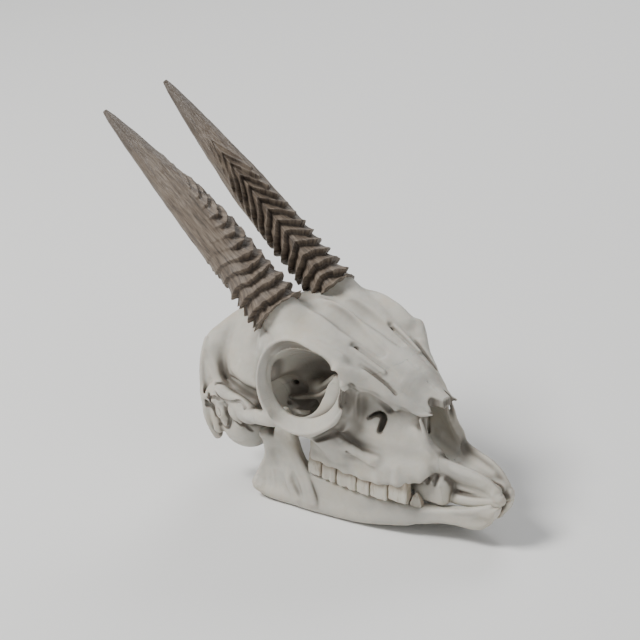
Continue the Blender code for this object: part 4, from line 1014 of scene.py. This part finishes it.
# How near to a cut a point of the lattice's skin has to be to move onto its edge, and how far it may move
EDGE_NEAR = PITCH * 0.75
EDGE_MOVE = PITCH * 1.6
EDGE_DEG = 55
# Distances outward at which a hollow is felt, for the painted cavity shade
CAVITY_SHADE_REACHES = (0.7, 1.8, 4.0, 8.0)


def bone_piece(name, clay, surround, limits, material):
    """Skins one bone. Surround is the uncut clay and limits are its cuts, which meet it in sharp edges."""
    def body(x, y, z):
        return sample(surround, np.stack([x, y, z], -1))

    def cuts(x, y, z):
        return np.max([limit(x, y, z) for limit in limits], axis=0)

    points, quads = largest_surface(*polygons(clay))
    edge = (np.abs(body(*points.T)) < EDGE_NEAR) & (np.abs(cuts(*points.T)) < EDGE_NEAR)
    sharp = points[edge]
    for _ in range(5):
        sharp = onto(body, onto(cuts, sharp))
    moved = np.linalg.norm(sharp - points[edge], axis=1) < EDGE_MOVE
    points[np.flatnonzero(edge)[moved]] = sharp[moved]
    edges = edge_list(quads)
    points = np.where(edge[:, None], points, relaxed(points, edges, 2))
    outward = slope(body, points)
    outward /= np.maximum(np.linalg.norm(outward, axis=1, keepdims=True), 1e-6)
    # Painted cavity shade: the hollow attribute grows where little open space lies outward
    hollow = np.zeros(len(points))
    for reach in CAVITY_SHADE_REACHES:
        open_space = body(*(points + outward * reach).T) / reach
        hollow += np.clip(1 - open_space, -0.5, 1) / 3
    # The painted shade deep in the eye sockets is added here
    hollow = relaxed(hollow, edges, 2)[:, 0] + 0.3 * socket_shade(points)
    outer = np.clip(1 + body(*points.T) / PITCH, 0, 1)
    points = points + outward * (bone_relief(points) * outer)[:, None]
    piece = new_piece(name, points, quads, material, {"hollow": np.clip(hollow * 0.9 + 0.25, 0, 1)})
    piece.data.set_sharp_from_angle(angle=math.radians(EDGE_DEG))
    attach(piece, "root")
    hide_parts(name)


def build_bones(material):
    cranium = model_cranium()
    details = (detail_orbit, detail_face, detail_nose, detail_palate)
    for detail in details + (detail_ear_region, detail_braincase, detail_forehead):
        detail(cranium)
    cranium = whole_lattice(cranium)
    for name, limits in bone_limits().items():
        bone_piece(name, cranium.part(*limits), cranium, limits, material)
    jaw = model_jaw()
    detail_jaw(jaw)
    jaw = whole_lattice(jaw)
    middle = beyond(MIDDLE_CUT)
    for side, limit in (("left", ahead(middle)), ("right", behind(middle))):
        bone_piece("mandible_" + side, jaw.part(limit), jaw, [limit], material)


# Horn sheaths

HORN_POINTS_AROUND = 208
HORN_POINTS_PER_RIDGE = 26
HORN_PLAIN_RINGS = 150


def horn_axes(side):
    """Unit vectors of a horn: along it, towards its keel, and across both."""
    base, tip = (Vector(end) for end in HORN_ENDS[side])
    along = (tip - base).normalized()
    outward = Vector((math.copysign(1, base.x), 0, 0))
    outward = (outward - along * outward.dot(along)).normalized()
    forward = Vector((0, -along.z, along.y)).normalized()
    turn = math.radians(HORN_KEEL_DEG)
    keel = forward * math.cos(turn) - outward * math.sin(turn)
    return along, keel, forward * math.sin(turn) + outward * math.cos(turn)


def fade(value, start, end):
    """1 before start, 0 past end, smooth between."""
    t = np.clip((value - start) / (end - start), 0, 1)
    return 1 - t * t * (3 - 2 * t)


# Share of a ridge's step that its steep side takes
RIDGE_DROP = 0.2
# How much of the sweep a ridge has at each angle from the keel, on the outer side
OUTER_ANGLES = (0, 18, 45, 75, 130, 180)
OUTER_TURNS = (0, 0.4, 1.0, 0.9, 0.3, 0.2)


def ridge_profile(phase):
    """A ridge's rise over its step: a sharp lip on the side of the base, then a long hollow slope."""
    up = np.clip((phase - RIDGE_DROP) / (1 - RIDGE_DROP), 0, 1)
    return np.where(phase < RIDGE_DROP, np.sin(phase / RIDGE_DROP * math.pi / 2), 1 - up ** 0.75)


def round_noise(cos, sin, places, wide, long, length, octaves, seed):
    """Noise over the horn's points that meets itself round the horn. Long stretches it along the horn."""
    columns = np.broadcast_arrays(cos * wide, sin * wide, places / long)
    values = fractal(np.stack(columns, -1).reshape(-1, 3) + seed, length, octaves)
    return values.reshape(columns[0].shape)


def build_horn(side, material):
    base, tip = (Vector(end) for end in HORN_ENDS[side])
    length = (tip - base).length
    along, keel, across = (np.array(axis) for axis in horn_axes(side))
    angles = 2 * math.pi * np.arange(HORN_POINTS_AROUND) / HORN_POINTS_AROUND
    rows = HORN_POINTS_PER_RIDGE * HORN_RIDGES
    ridged = np.linspace(0, HORN_RIDGE_STEP * HORN_RIDGES, rows, endpoint=False)
    rest = length - ridged[-1]
    plain = ridged[-1] + rest * (1 - (1 - np.linspace(0, 1, HORN_PLAIN_RINGS + 1)[1:]) ** 1.5)
    places = np.concatenate([ridged, plain])[:, None]
    cos, sin = np.cos(angles)[None], np.sin(angles)[None]
    share = places / length
    seed = 3.0 if side == "left" else 11.0
    lumps = round_noise(cos, sin, places, 6, 1.0, 5.0, 2, seed)
    fibres = round_noise(cos, sin, places, 7, 16, 0.8, 3, seed)
    jag = round_noise(cos, sin, places, 7, 3, 2.2, 2, seed * 2)
    wide, narrow = (np.interp(share, HORN_AT, widths) for widths in (HORN_WIDE, HORN_NARROW))
    reach = 1 / np.sqrt((cos / wide) ** 2 + (sin / narrow) ** 2)
    # Ridges run as chevrons from the keel, steeper towards the tip, and go further up there
    away = np.degrees(np.arctan2(np.abs(sin), cos))
    inner_turn = np.where(cos > 0, np.abs(sin) ** 1.1, 1.0)
    run = np.where(sin > 0, np.interp(away, OUTER_ANGLES, OUTER_TURNS), inner_turn)
    sweep = np.where(sin > 0, HORN_SWEEP_OUTER, HORN_SWEEP_INNER) * np.clip(share / 0.3, 0.3, 2.0)
    step = HORN_RIDGE_STEP * (1 + 0.12 * share)
    phase = (places + sweep * run + 0.5 * jag + 0.7 * lumps) / step + 0.1
    rise = ridge_profile(phase % 1.0)
    end = 0.37 + (HORN_RIDGES_END - 0.37) * np.clip(cos, 0, 1) ** 1.4 + 0.03 * lumps
    lift = HORN_RIDGE_RISE * fade(share, end - 0.34, end) * (1 + 0.3 * lumps + 0.2 * jag)
    reach = reach + lift * (rise - 0.42)
    smooth = 1 - fade(share, end - 0.15, end)
    reach = reach + fibres * (0.04 + 0.08 * smooth * fade(share, 0.6, 1.0))
    reach = reach + 0.15 * lumps * fade(share, 0.7, 1.0)
    # The sheath's lower edge is frayed and flares a little
    reach = reach + 0.5 * fade(places, 0.0, 2.2) * (1 + jag)
    fray = (0.5 + 0.5 * jag) * fade(places, 0.0, 1.6)
    outward, forward = (amount * np.sin(math.pi * share) for amount in HORN_BOW[side])
    bow = (across - keel) * outward[..., None] + (across + keel) * forward[..., None]
    centre = np.array(base) + along * (places[..., None] + 0.9 * fray[..., None]) + bow / math.sqrt(2)
    points = centre + keel * (reach * cos)[..., None] + across * (reach * sin)[..., None]
    shape, count = reach.shape, reach.size
    rings, quads = close_ends(points.reshape(-1, 3), tube_quads(*shape), *shape)
    extra = len(rings) - count
    # Painted shade in the grooves between the ridges
    groove_shade = np.clip(1 - rise, 0, 1) * np.clip(lift / HORN_RIDGE_RISE, 0, 1)
    grain = np.stack(np.broadcast_arrays(cos * 6, sin * 6, places / 9), -1).reshape(-1, 3)
    attributes = {
        "groove_shade": np.concatenate([groove_shade.ravel(), np.zeros(extra)]),
        "height": np.concatenate([np.broadcast_to(share, shape).ravel(), np.zeros(extra)]),
        "grain": np.concatenate([grain + seed, np.zeros((extra, 3))]),
    }
    piece = new_piece("horn_sheath_" + side, rings, quads, material, attributes)
    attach(piece, "root")
    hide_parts("horn_" + side)


def tube_quads(rows, count):
    row, step = np.meshgrid(np.arange(rows - 1), np.arange(count), indexing="ij")
    a = row * count + step
    b = row * count + (step + 1) % count
    return np.stack([a, b, b + count, a + count], -1).reshape(-1, 4)


def close_ends(points, quads, rows, count):
    """Closes a tube's ends by rings that shrink to a small middle, each a strip of quads."""
    first, last = points[:count], points[-count:]
    added, faces, start = [], [], len(points)
    for ring_points, offset, flip in ((first, 0, True), (last, (rows - 1) * count, False)):
        middle = ring_points.mean(axis=0)
        outer = np.arange(count) + offset
        for scale in (0.66, 0.33, 0.02):
            added.append(middle + (ring_points - middle) * scale)
            inner = np.arange(count) + start
            start += count
            strip = np.stack([outer, np.roll(outer, -1), np.roll(inner, -1), inner], -1)
            faces.append(strip[:, ::-1] if flip else strip)
            outer = inner
    return np.concatenate([points] + added), np.concatenate([quads] + faces)


# Teeth

def tooth_places(start, teeth, wall):
    """Centre, direction, length, depth and lobes of each tooth along the outer wall of the row."""
    places, y = [], start
    for length, depth, lobes in teeth:
        middle = y + length / 2
        slope = (wall(middle + 2) - wall(middle - 2)) / 4
        places.append(((wall(middle) - depth / 2, middle), (slope, 1, 0), length - TOOTH_GAP, depth, lobes))
        y += length
    return places


TOOTH_POINTS = 96
TOOTH_RINGS = 34
# Lean of the chewing faces, outward per millimetre across
TOOTH_LEAN = -0.24


def tooth_rings(centre, axis, length, depth, lobes, levels, seed):
    """Points of a cheek tooth's rings, with ribbed walls, and round a ring 1 where it meets the next tooth,
    which weights painted shade in the gap.

    Levels are height, scale and outward shift.
    """
    axis = np.array(axis, float)
    axis /= np.linalg.norm(axis)
    outward = np.array([axis[1], -axis[0], 0])
    angles = 2 * math.pi * np.arange(TOOTH_POINTS) / TOOTH_POINTS
    cos, sin = np.cos(angles), np.sin(angles)
    along = length / 2 * np.sign(cos) * np.abs(cos) ** 0.36
    wall = depth / 2 * np.sign(sin) * np.abs(sin) ** 0.42
    # Upright ribs on the outer wall, and a furrow between the lobes
    place = along / length * 2
    ribs = 0.1 * np.cos(math.pi * 2.0 * place * lobes) + 0.1 * np.abs(place) ** 3
    wall += np.where(sin > 0, ribs * np.abs(sin) ** 0.5, 0)
    if lobes == 2:
        wall *= 0.76 + 0.24 * np.clip(np.abs(along) / (length * 0.14), 0, 1) ** 0.7
    heights, scales, shifts = np.array(levels, float).T
    fine = np.linspace(heights[0], heights[-1], TOOTH_RINGS)
    order = np.argsort(heights)
    scale, shift = (np.interp(fine, heights[order], line[order]) for line in (scales, shifts))
    rings = []
    middle = np.array([centre[0], centre[1], 0])
    for height, size, out in zip(fine, scale, shift):
        across = wall * size + out
        wobble = 0.05 * math.sin(height * 2.1 + seed)
        points = middle + np.outer(along * size + wobble, axis) + np.outer(across, outward)
        points[:, 2] = height + TOOTH_LEAN * across + 0.11 * along * size
        rings.append(points)
    # Painted shade in the gaps between neighbouring teeth
    between = np.clip((np.abs(along) / length * 2 - 0.8) / 0.2, 0, 1) ** 2
    return np.concatenate(rings), between


def build_teeth(name, side, start, teeth, wall, upper, material):
    """All the teeth of one row as one piece."""
    all_points, all_quads, root_stain_and_gap_shade, count = [], [], [], 0
    for number, (centre, axis, length, depth, lobes) in enumerate(tooth_places(start, teeth, wall)):
        edge = BITE(centre[1])
        if upper:
            levels = [(edge + 8, 0.86, -0.7), (edge + 2.6, 1, 0.1), (edge + 0.3, 1, 0.3), (edge, 0.95, 0.3)]
        else:
            edge -= 0.1
            levels = [(edge - 6.0, 0.84, 0.2), (edge - 0.4, 1.0, 0.0), (edge, 0.94, 0.0)]
            # The first one is a cone
            if number == 0:
                levels = [(edge - 5, 0.9, 0), (edge - 2.2, 1, 0), (edge - 0.4, 0.6, 0), (edge + 0.8, 0.14, 0)]
        points, between = tooth_rings(centre, axis, length, depth, lobes, levels, number + 7 * upper)
        quads = tube_quads(TOOTH_RINGS, TOOTH_POINTS)
        points, quads = close_ends(points, quads, TOOTH_RINGS, TOOTH_POINTS)
        # Stain darker away from the chewing edge, and painted shade in the gaps between teeth
        rise = np.clip(np.abs(points[:, 2] - edge) / 5.0, 0, 1)
        rise = np.maximum(rise, np.resize(between, len(points)) * 0.8)
        if not upper:
            quads = quads[:, ::-1]
        relief = 0.05 * fractal(points, 1.1, 2, number * 5.0)
        points = points + point_normals(points, quads) * relief[:, None]
        all_points.append(points)
        all_quads.append(quads + count)
        root_stain_and_gap_shade.append(rise)
        count += len(points)
    points, quads = np.concatenate(all_points), np.concatenate(all_quads)
    if side == "right":
        points[:, 0] *= -1
    if volume(points, quads) < 0:
        quads = quads[:, ::-1]
    piece = new_piece(f"teeth_{name}_{side}", points, quads, material, {"root_stain_and_gap_shade": np.concatenate(root_stain_and_gap_shade)})
    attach(piece, "root")


def volume(points, quads):
    a, b, c, d = (points[quads[:, corner]] for corner in range(4))
    return float((a * np.cross(b, c)).sum() + (a * np.cross(c, d)).sum()) / 6


# Materials

def node(tree, kind, **settings):
    """Adds a node. Settings are its properties, or input values where the key is a socket's name."""
    made = tree.nodes.new(kind)
    for key, value in settings.items():
        if key in made.inputs:
            made.inputs[key].default_value = value
        else:
            setattr(made, key, value)
    return made


def set_inputs(made, values):
    for key, value in values.items():
        made.inputs[key].default_value = value


def attribute(tree, name):
    return node(tree, "ShaderNodeAttribute", attribute_name=name)


def noise_texture(tree, vector, scale, detail=4.0, roughness=0.55):
    made = node(tree, "ShaderNodeTexNoise")
    set_inputs(made, {"Scale": scale, "Detail": detail, "Roughness": roughness})
    tree.links.new(vector, made.inputs["Vector"])
    return made.outputs["Fac"]


def ramp(tree, value, stops):
    """A colour ramp. Stops are (position, colour) pairs."""
    made = node(tree, "ShaderNodeValToRGB")
    elements = made.color_ramp.elements
    while len(elements) < len(stops):
        elements.new(0.5)
    for element, (place, colour) in zip(elements, stops):
        element.position = place
        element.color = (*colour, 1)
    tree.links.new(value, made.inputs["Fac"])
    return made.outputs["Color"]


def mix(tree, factor, first, second, kind="MIX"):
    made = node(tree, "ShaderNodeMix", data_type="RGBA", blend_type=kind)
    sockets = {"factor": made.inputs[0], "first": made.inputs[6], "second": made.inputs[7]}
    for key, value in (("factor", factor), ("first", first), ("second", second)):
        if isinstance(value, bpy.types.NodeSocket):
            tree.links.new(value, sockets[key])
        elif key == "factor":
            sockets[key].default_value = value
        else:
            sockets[key].default_value = (*value, 1)
    return made.outputs[2]


def curve(tree, value, low, high, out_low=0.0, out_high=1.0):
    made = node(tree, "ShaderNodeMapRange", interpolation_type="SMOOTHSTEP")
    for key, number in (("From Min", low), ("From Max", high), ("To Min", out_low), ("To Max", out_high)):
        made.inputs[key].default_value = number
    tree.links.new(value, made.inputs["Value"])
    return made.outputs["Result"]


def bump(tree, height, strength, distance, before=None):
    made = node(tree, "ShaderNodeBump")
    set_inputs(made, {"Strength": strength, "Distance": distance})
    tree.links.new(height, made.inputs["Height"])
    if before is not None:
        tree.links.new(before, made.inputs["Normal"])
    return made.outputs["Normal"]


def new_material(name):
    made = bpy.data.materials.new(name)
    made.use_nodes = True
    tree = made.node_tree
    return made, tree, tree.nodes["Principled BSDF"]


BONE_PALE = (0.52, 0.495, 0.435)
BONE_GREY = (0.43, 0.415, 0.375)
BONE_WARM = (0.49, 0.44, 0.35)
# Colour of the painted shade in hollows and eye sockets
BONE_PAINTED_SHADE = (0.10, 0.083, 0.065)


def bone_material():
    made, tree, shader = new_material("dry_bone")
    place = node(tree, "ShaderNodeTexCoord").outputs["Object"]
    broad = noise_texture(tree, place, 55, 5, 0.6)
    colour = ramp(tree, broad, ((0.34, BONE_GREY), (0.52, BONE_PALE), (0.72, BONE_WARM)))
    # Fine mottling
    mottle = noise_texture(tree, place, 420, 6, 0.65)
    colour = mix(tree, curve(tree, mottle, 0.48, 0.68, 0.0, 0.28), colour, BONE_WARM)
    # Painted shade where the surface is hollow and deep in the eye sockets, mixed over the noisy colour
    hollow = attribute(tree, "hollow").outputs["Fac"]
    painted_shade = curve(tree, hollow, 0.38, 0.92, 0.0, 0.82)
    colour = mix(tree, painted_shade, colour, BONE_PAINTED_SHADE)
    # Paler where the surface is most open, from the same hollow attribute as the painted shade
    paler_where_open = curve(tree, hollow, 0.24, 0.05, 0.0, 0.5)
    colour = mix(tree, paler_where_open, colour, (0.66, 0.635, 0.57))
    tree.links.new(colour, shader.inputs["Base Color"])
    grain = curve(tree, mottle, 0.3, 0.7, 0.5, 0.68)
    tree.links.new(grain, shader.inputs["Roughness"])
    set_inputs(shader, {"Subsurface Weight": 0.08, "Subsurface Scale": 0.002, "Specular IOR Level": 0.4})
    # Fine pores and grain
    pores = node(tree, "ShaderNodeTexVoronoi", feature="F1")
    set_inputs(pores, {"Scale": 1500.0, "Randomness": 1.0})
    tree.links.new(place, pores.inputs["Vector"])
    pits = curve(tree, pores.outputs["Distance"], 0.12, 0.34)
    normal = bump(tree, noise_texture(tree, place, 900, 6, 0.7), 0.35, 0.00022)
    normal = bump(tree, pits, 0.22, 0.00012, normal)
    tree.links.new(normal, shader.inputs["Normal"])
    return made


HORN_DARK = (0.045, 0.036, 0.029)
HORN_BROWN = (0.15, 0.115, 0.085)
HORN_WORN = (0.24, 0.20, 0.155)


def horn_material():
    made, tree, shader = new_material("horn_sheath")
    grain = attribute(tree, "grain").outputs["Vector"]
    streaks = noise_texture(tree, grain, 1.6, 7, 0.65)
    colour = ramp(tree, streaks, ((0.32, HORN_DARK), (0.52, HORN_BROWN), (0.74, HORN_WORN)))
    # Painted shade darkens the grooves between the ridges
    groove_shade = attribute(tree, "groove_shade").outputs["Fac"]
    colour = mix(tree, curve(tree, groove_shade, 0.35, 0.95, 0.0, 0.5), colour, HORN_DARK)
    height = attribute(tree, "height").outputs["Fac"]
    # The tip is rubbed darker and smoother
    colour = mix(tree, curve(tree, height, 0.6, 0.95, 0.0, 0.5), colour, HORN_DARK)
    # The frayed lower edge is grey
    colour = mix(tree, curve(tree, height, 0.03, 0.0, 0.0, 0.3), colour, HORN_WORN)
    tree.links.new(colour, shader.inputs["Base Color"])
    tree.links.new(curve(tree, height, 0.3, 1.0, 0.52, 0.30), shader.inputs["Roughness"])
    normal = bump(tree, noise_texture(tree, grain, 7.0, 6, 0.7), 0.5, 0.0003)
    tree.links.new(normal, shader.inputs["Normal"])
    return made


TOOTH_IVORY = (0.54, 0.51, 0.435)
# Colour of real stains and of the painted shade between teeth
TOOTH_STAIN_AND_SHADE = (0.20, 0.135, 0.075)


def tooth_material():
    made, tree, shader = new_material("tooth_enamel")
    place = node(tree, "ShaderNodeTexCoord").outputs["Object"]
    stretch = node(tree, "ShaderNodeMapping")
    stretch.inputs["Scale"].default_value = (1.0, 1.0, 0.3)
    tree.links.new(place, stretch.inputs["Vector"])
    streaks = noise_texture(tree, stretch.outputs["Vector"], 700, 5, 0.6)
    root_stain_and_gap_shade = attribute(tree, "root_stain_and_gap_shade").outputs["Fac"]
    colour = mix(tree, curve(tree, streaks, 0.5, 0.75, 0.0, 0.55), TOOTH_IVORY, TOOTH_STAIN_AND_SHADE)
    # Stain towards the gum, and painted shade in the gaps between teeth
    colour = mix(tree, curve(tree, root_stain_and_gap_shade, 0.35, 0.8, 0.0, 0.6), colour, TOOTH_STAIN_AND_SHADE)
    tree.links.new(colour, shader.inputs["Base Color"])
    set_inputs(shader, {"Roughness": 0.3, "Subsurface Weight": 0.1, "Subsurface Scale": 0.001})
    tree.links.new(bump(tree, streaks, 0.3, 0.0002), shader.inputs["Normal"])
    return made


def floor_material():
    made, tree, shader = new_material("floor")
    shader.inputs["Base Color"].default_value = (0.82, 0.82, 0.81, 1)
    shader.inputs["Roughness"].default_value = 0.8
    return made


# Stage

# Where the photo was taken from, in the skull's frame, with angles in degrees
CAMERA_EYE = (-401.0, -262.4, 264.1)
CAMERA_AZIMUTH = -49.933
CAMERA_ELEVATION = 23.388
CAMERA_ROLL = -2.455
FOCAL_PIXELS = 2006.5
IMAGE_PIXELS = 640
SENSOR_WIDTH = 36.0
# Metres
FLOOR_HALF = 4.0
LIGHT_TARGET = (0, 0, 0.045)


def build_camera():
    azimuth, elevation, roll = (math.radians(v) for v in (CAMERA_AZIMUTH, CAMERA_ELEVATION, CAMERA_ROLL))
    level = math.cos(elevation)
    back = Vector((math.sin(azimuth) * level, -math.cos(azimuth) * level, math.sin(elevation)))
    right = Vector((math.cos(azimuth), math.sin(azimuth), 0))
    up = back.cross(right)
    right, up = math.cos(roll) * right + math.sin(roll) * up, math.cos(roll) * up - math.sin(roll) * right
    data = bpy.data.cameras.new("camera")
    data.sensor_width = SENSOR_WIDTH
    data.lens = data.sensor_width * FOCAL_PIXELS / IMAGE_PIXELS
    data.clip_start = 0.01
    camera = bpy.data.objects.new("camera", data)
    facing = Matrix((right, up, back)).transposed().to_4x4()
    camera.matrix_world = Matrix.Translation((np.array(CAMERA_EYE) + SHIFT) * MM) @ facing
    bpy.context.scene.collection.objects.link(camera)
    bpy.context.scene.camera = camera


def build_floor():
    mesh = bpy.data.meshes.new("floor")
    corners = [(x * FLOOR_HALF, y * FLOOR_HALF, 0) for x, y in ((-1, -1), (1, -1), (1, 1), (-1, 1))]
    mesh.from_pydata(corners, [], [(0, 1, 2, 3)])
    mesh.materials.append(floor_material())
    floor = bpy.data.objects.new("floor", mesh)
    bpy.context.scene.collection.objects.link(floor)


def area_light(name, place, power, size, colour):
    data = bpy.data.lights.new(name, "AREA")
    data.energy, data.size, data.color = power, size, colour
    light = bpy.data.objects.new(name, data)
    light.location = place
    light.rotation_euler = (Vector(LIGHT_TARGET) - light.location).to_track_quat("-Z", "Y").to_euler()
    bpy.context.scene.collection.objects.link(light)


def build_lights():
    area_light("key", (-0.50, 0.42, 0.90), 14.0, 0.35, (1.0, 0.99, 0.97))
    area_light("fill", (-0.2, -0.95, 0.5), 3.0, 0.8, (0.96, 0.98, 1.0))
    area_light("rim", (0.75, 0.25, 0.7), 4.0, 0.5, (1.0, 1.0, 1.0))
    world = bpy.data.worlds.new("studio")
    bpy.context.scene.world = world
    world.use_nodes = True
    background = world.node_tree.nodes["Background"]
    background.inputs["Color"].default_value = (0.80, 0.81, 0.83, 1)
    background.inputs["Strength"].default_value = 0.30


def frame_shift():
    """From the skull's frame to the row's, in millimetres: the horn tips and the jaws are in both."""
    right_tip, left_tip = Vector(HORN_ENDS["right"][1]), Vector(HORN_ENDS["left"][1])
    blunt = HORN_WIDE[-1]
    back_reach = right_tip.y + blunt * math.sqrt(1 - horn_axes("right")[0].y ** 2)
    top_reach = left_tip.z + blunt * math.sqrt(1 - horn_axes("left")[0].z ** 2)
    x = (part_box("mandible_left")[1][0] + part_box("mandible_right")[0][0]) / 2
    y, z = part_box("horn_right")[1][1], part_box("horn_left")[1][2]
    return np.array([x / MM, y / MM - back_reach, z / MM - top_reach])


SHIFT = frame_shift()


def build_scene():
    build_camera()
    bone, horn, enamel = bone_material(), horn_material(), tooth_material()
    build_bones(bone)
    for side in HORN_ENDS:
        build_horn(side, horn)
        build_teeth("upper", side, UPPER_ROW_FRONT, UPPER_TEETH, UPPER_WALL, True, enamel)
        build_teeth("lower", side, LOWER_ROW_FRONT, LOWER_TEETH, LOWER_WALL, False, enamel)
    build_floor()
    build_lights()


build_scene()
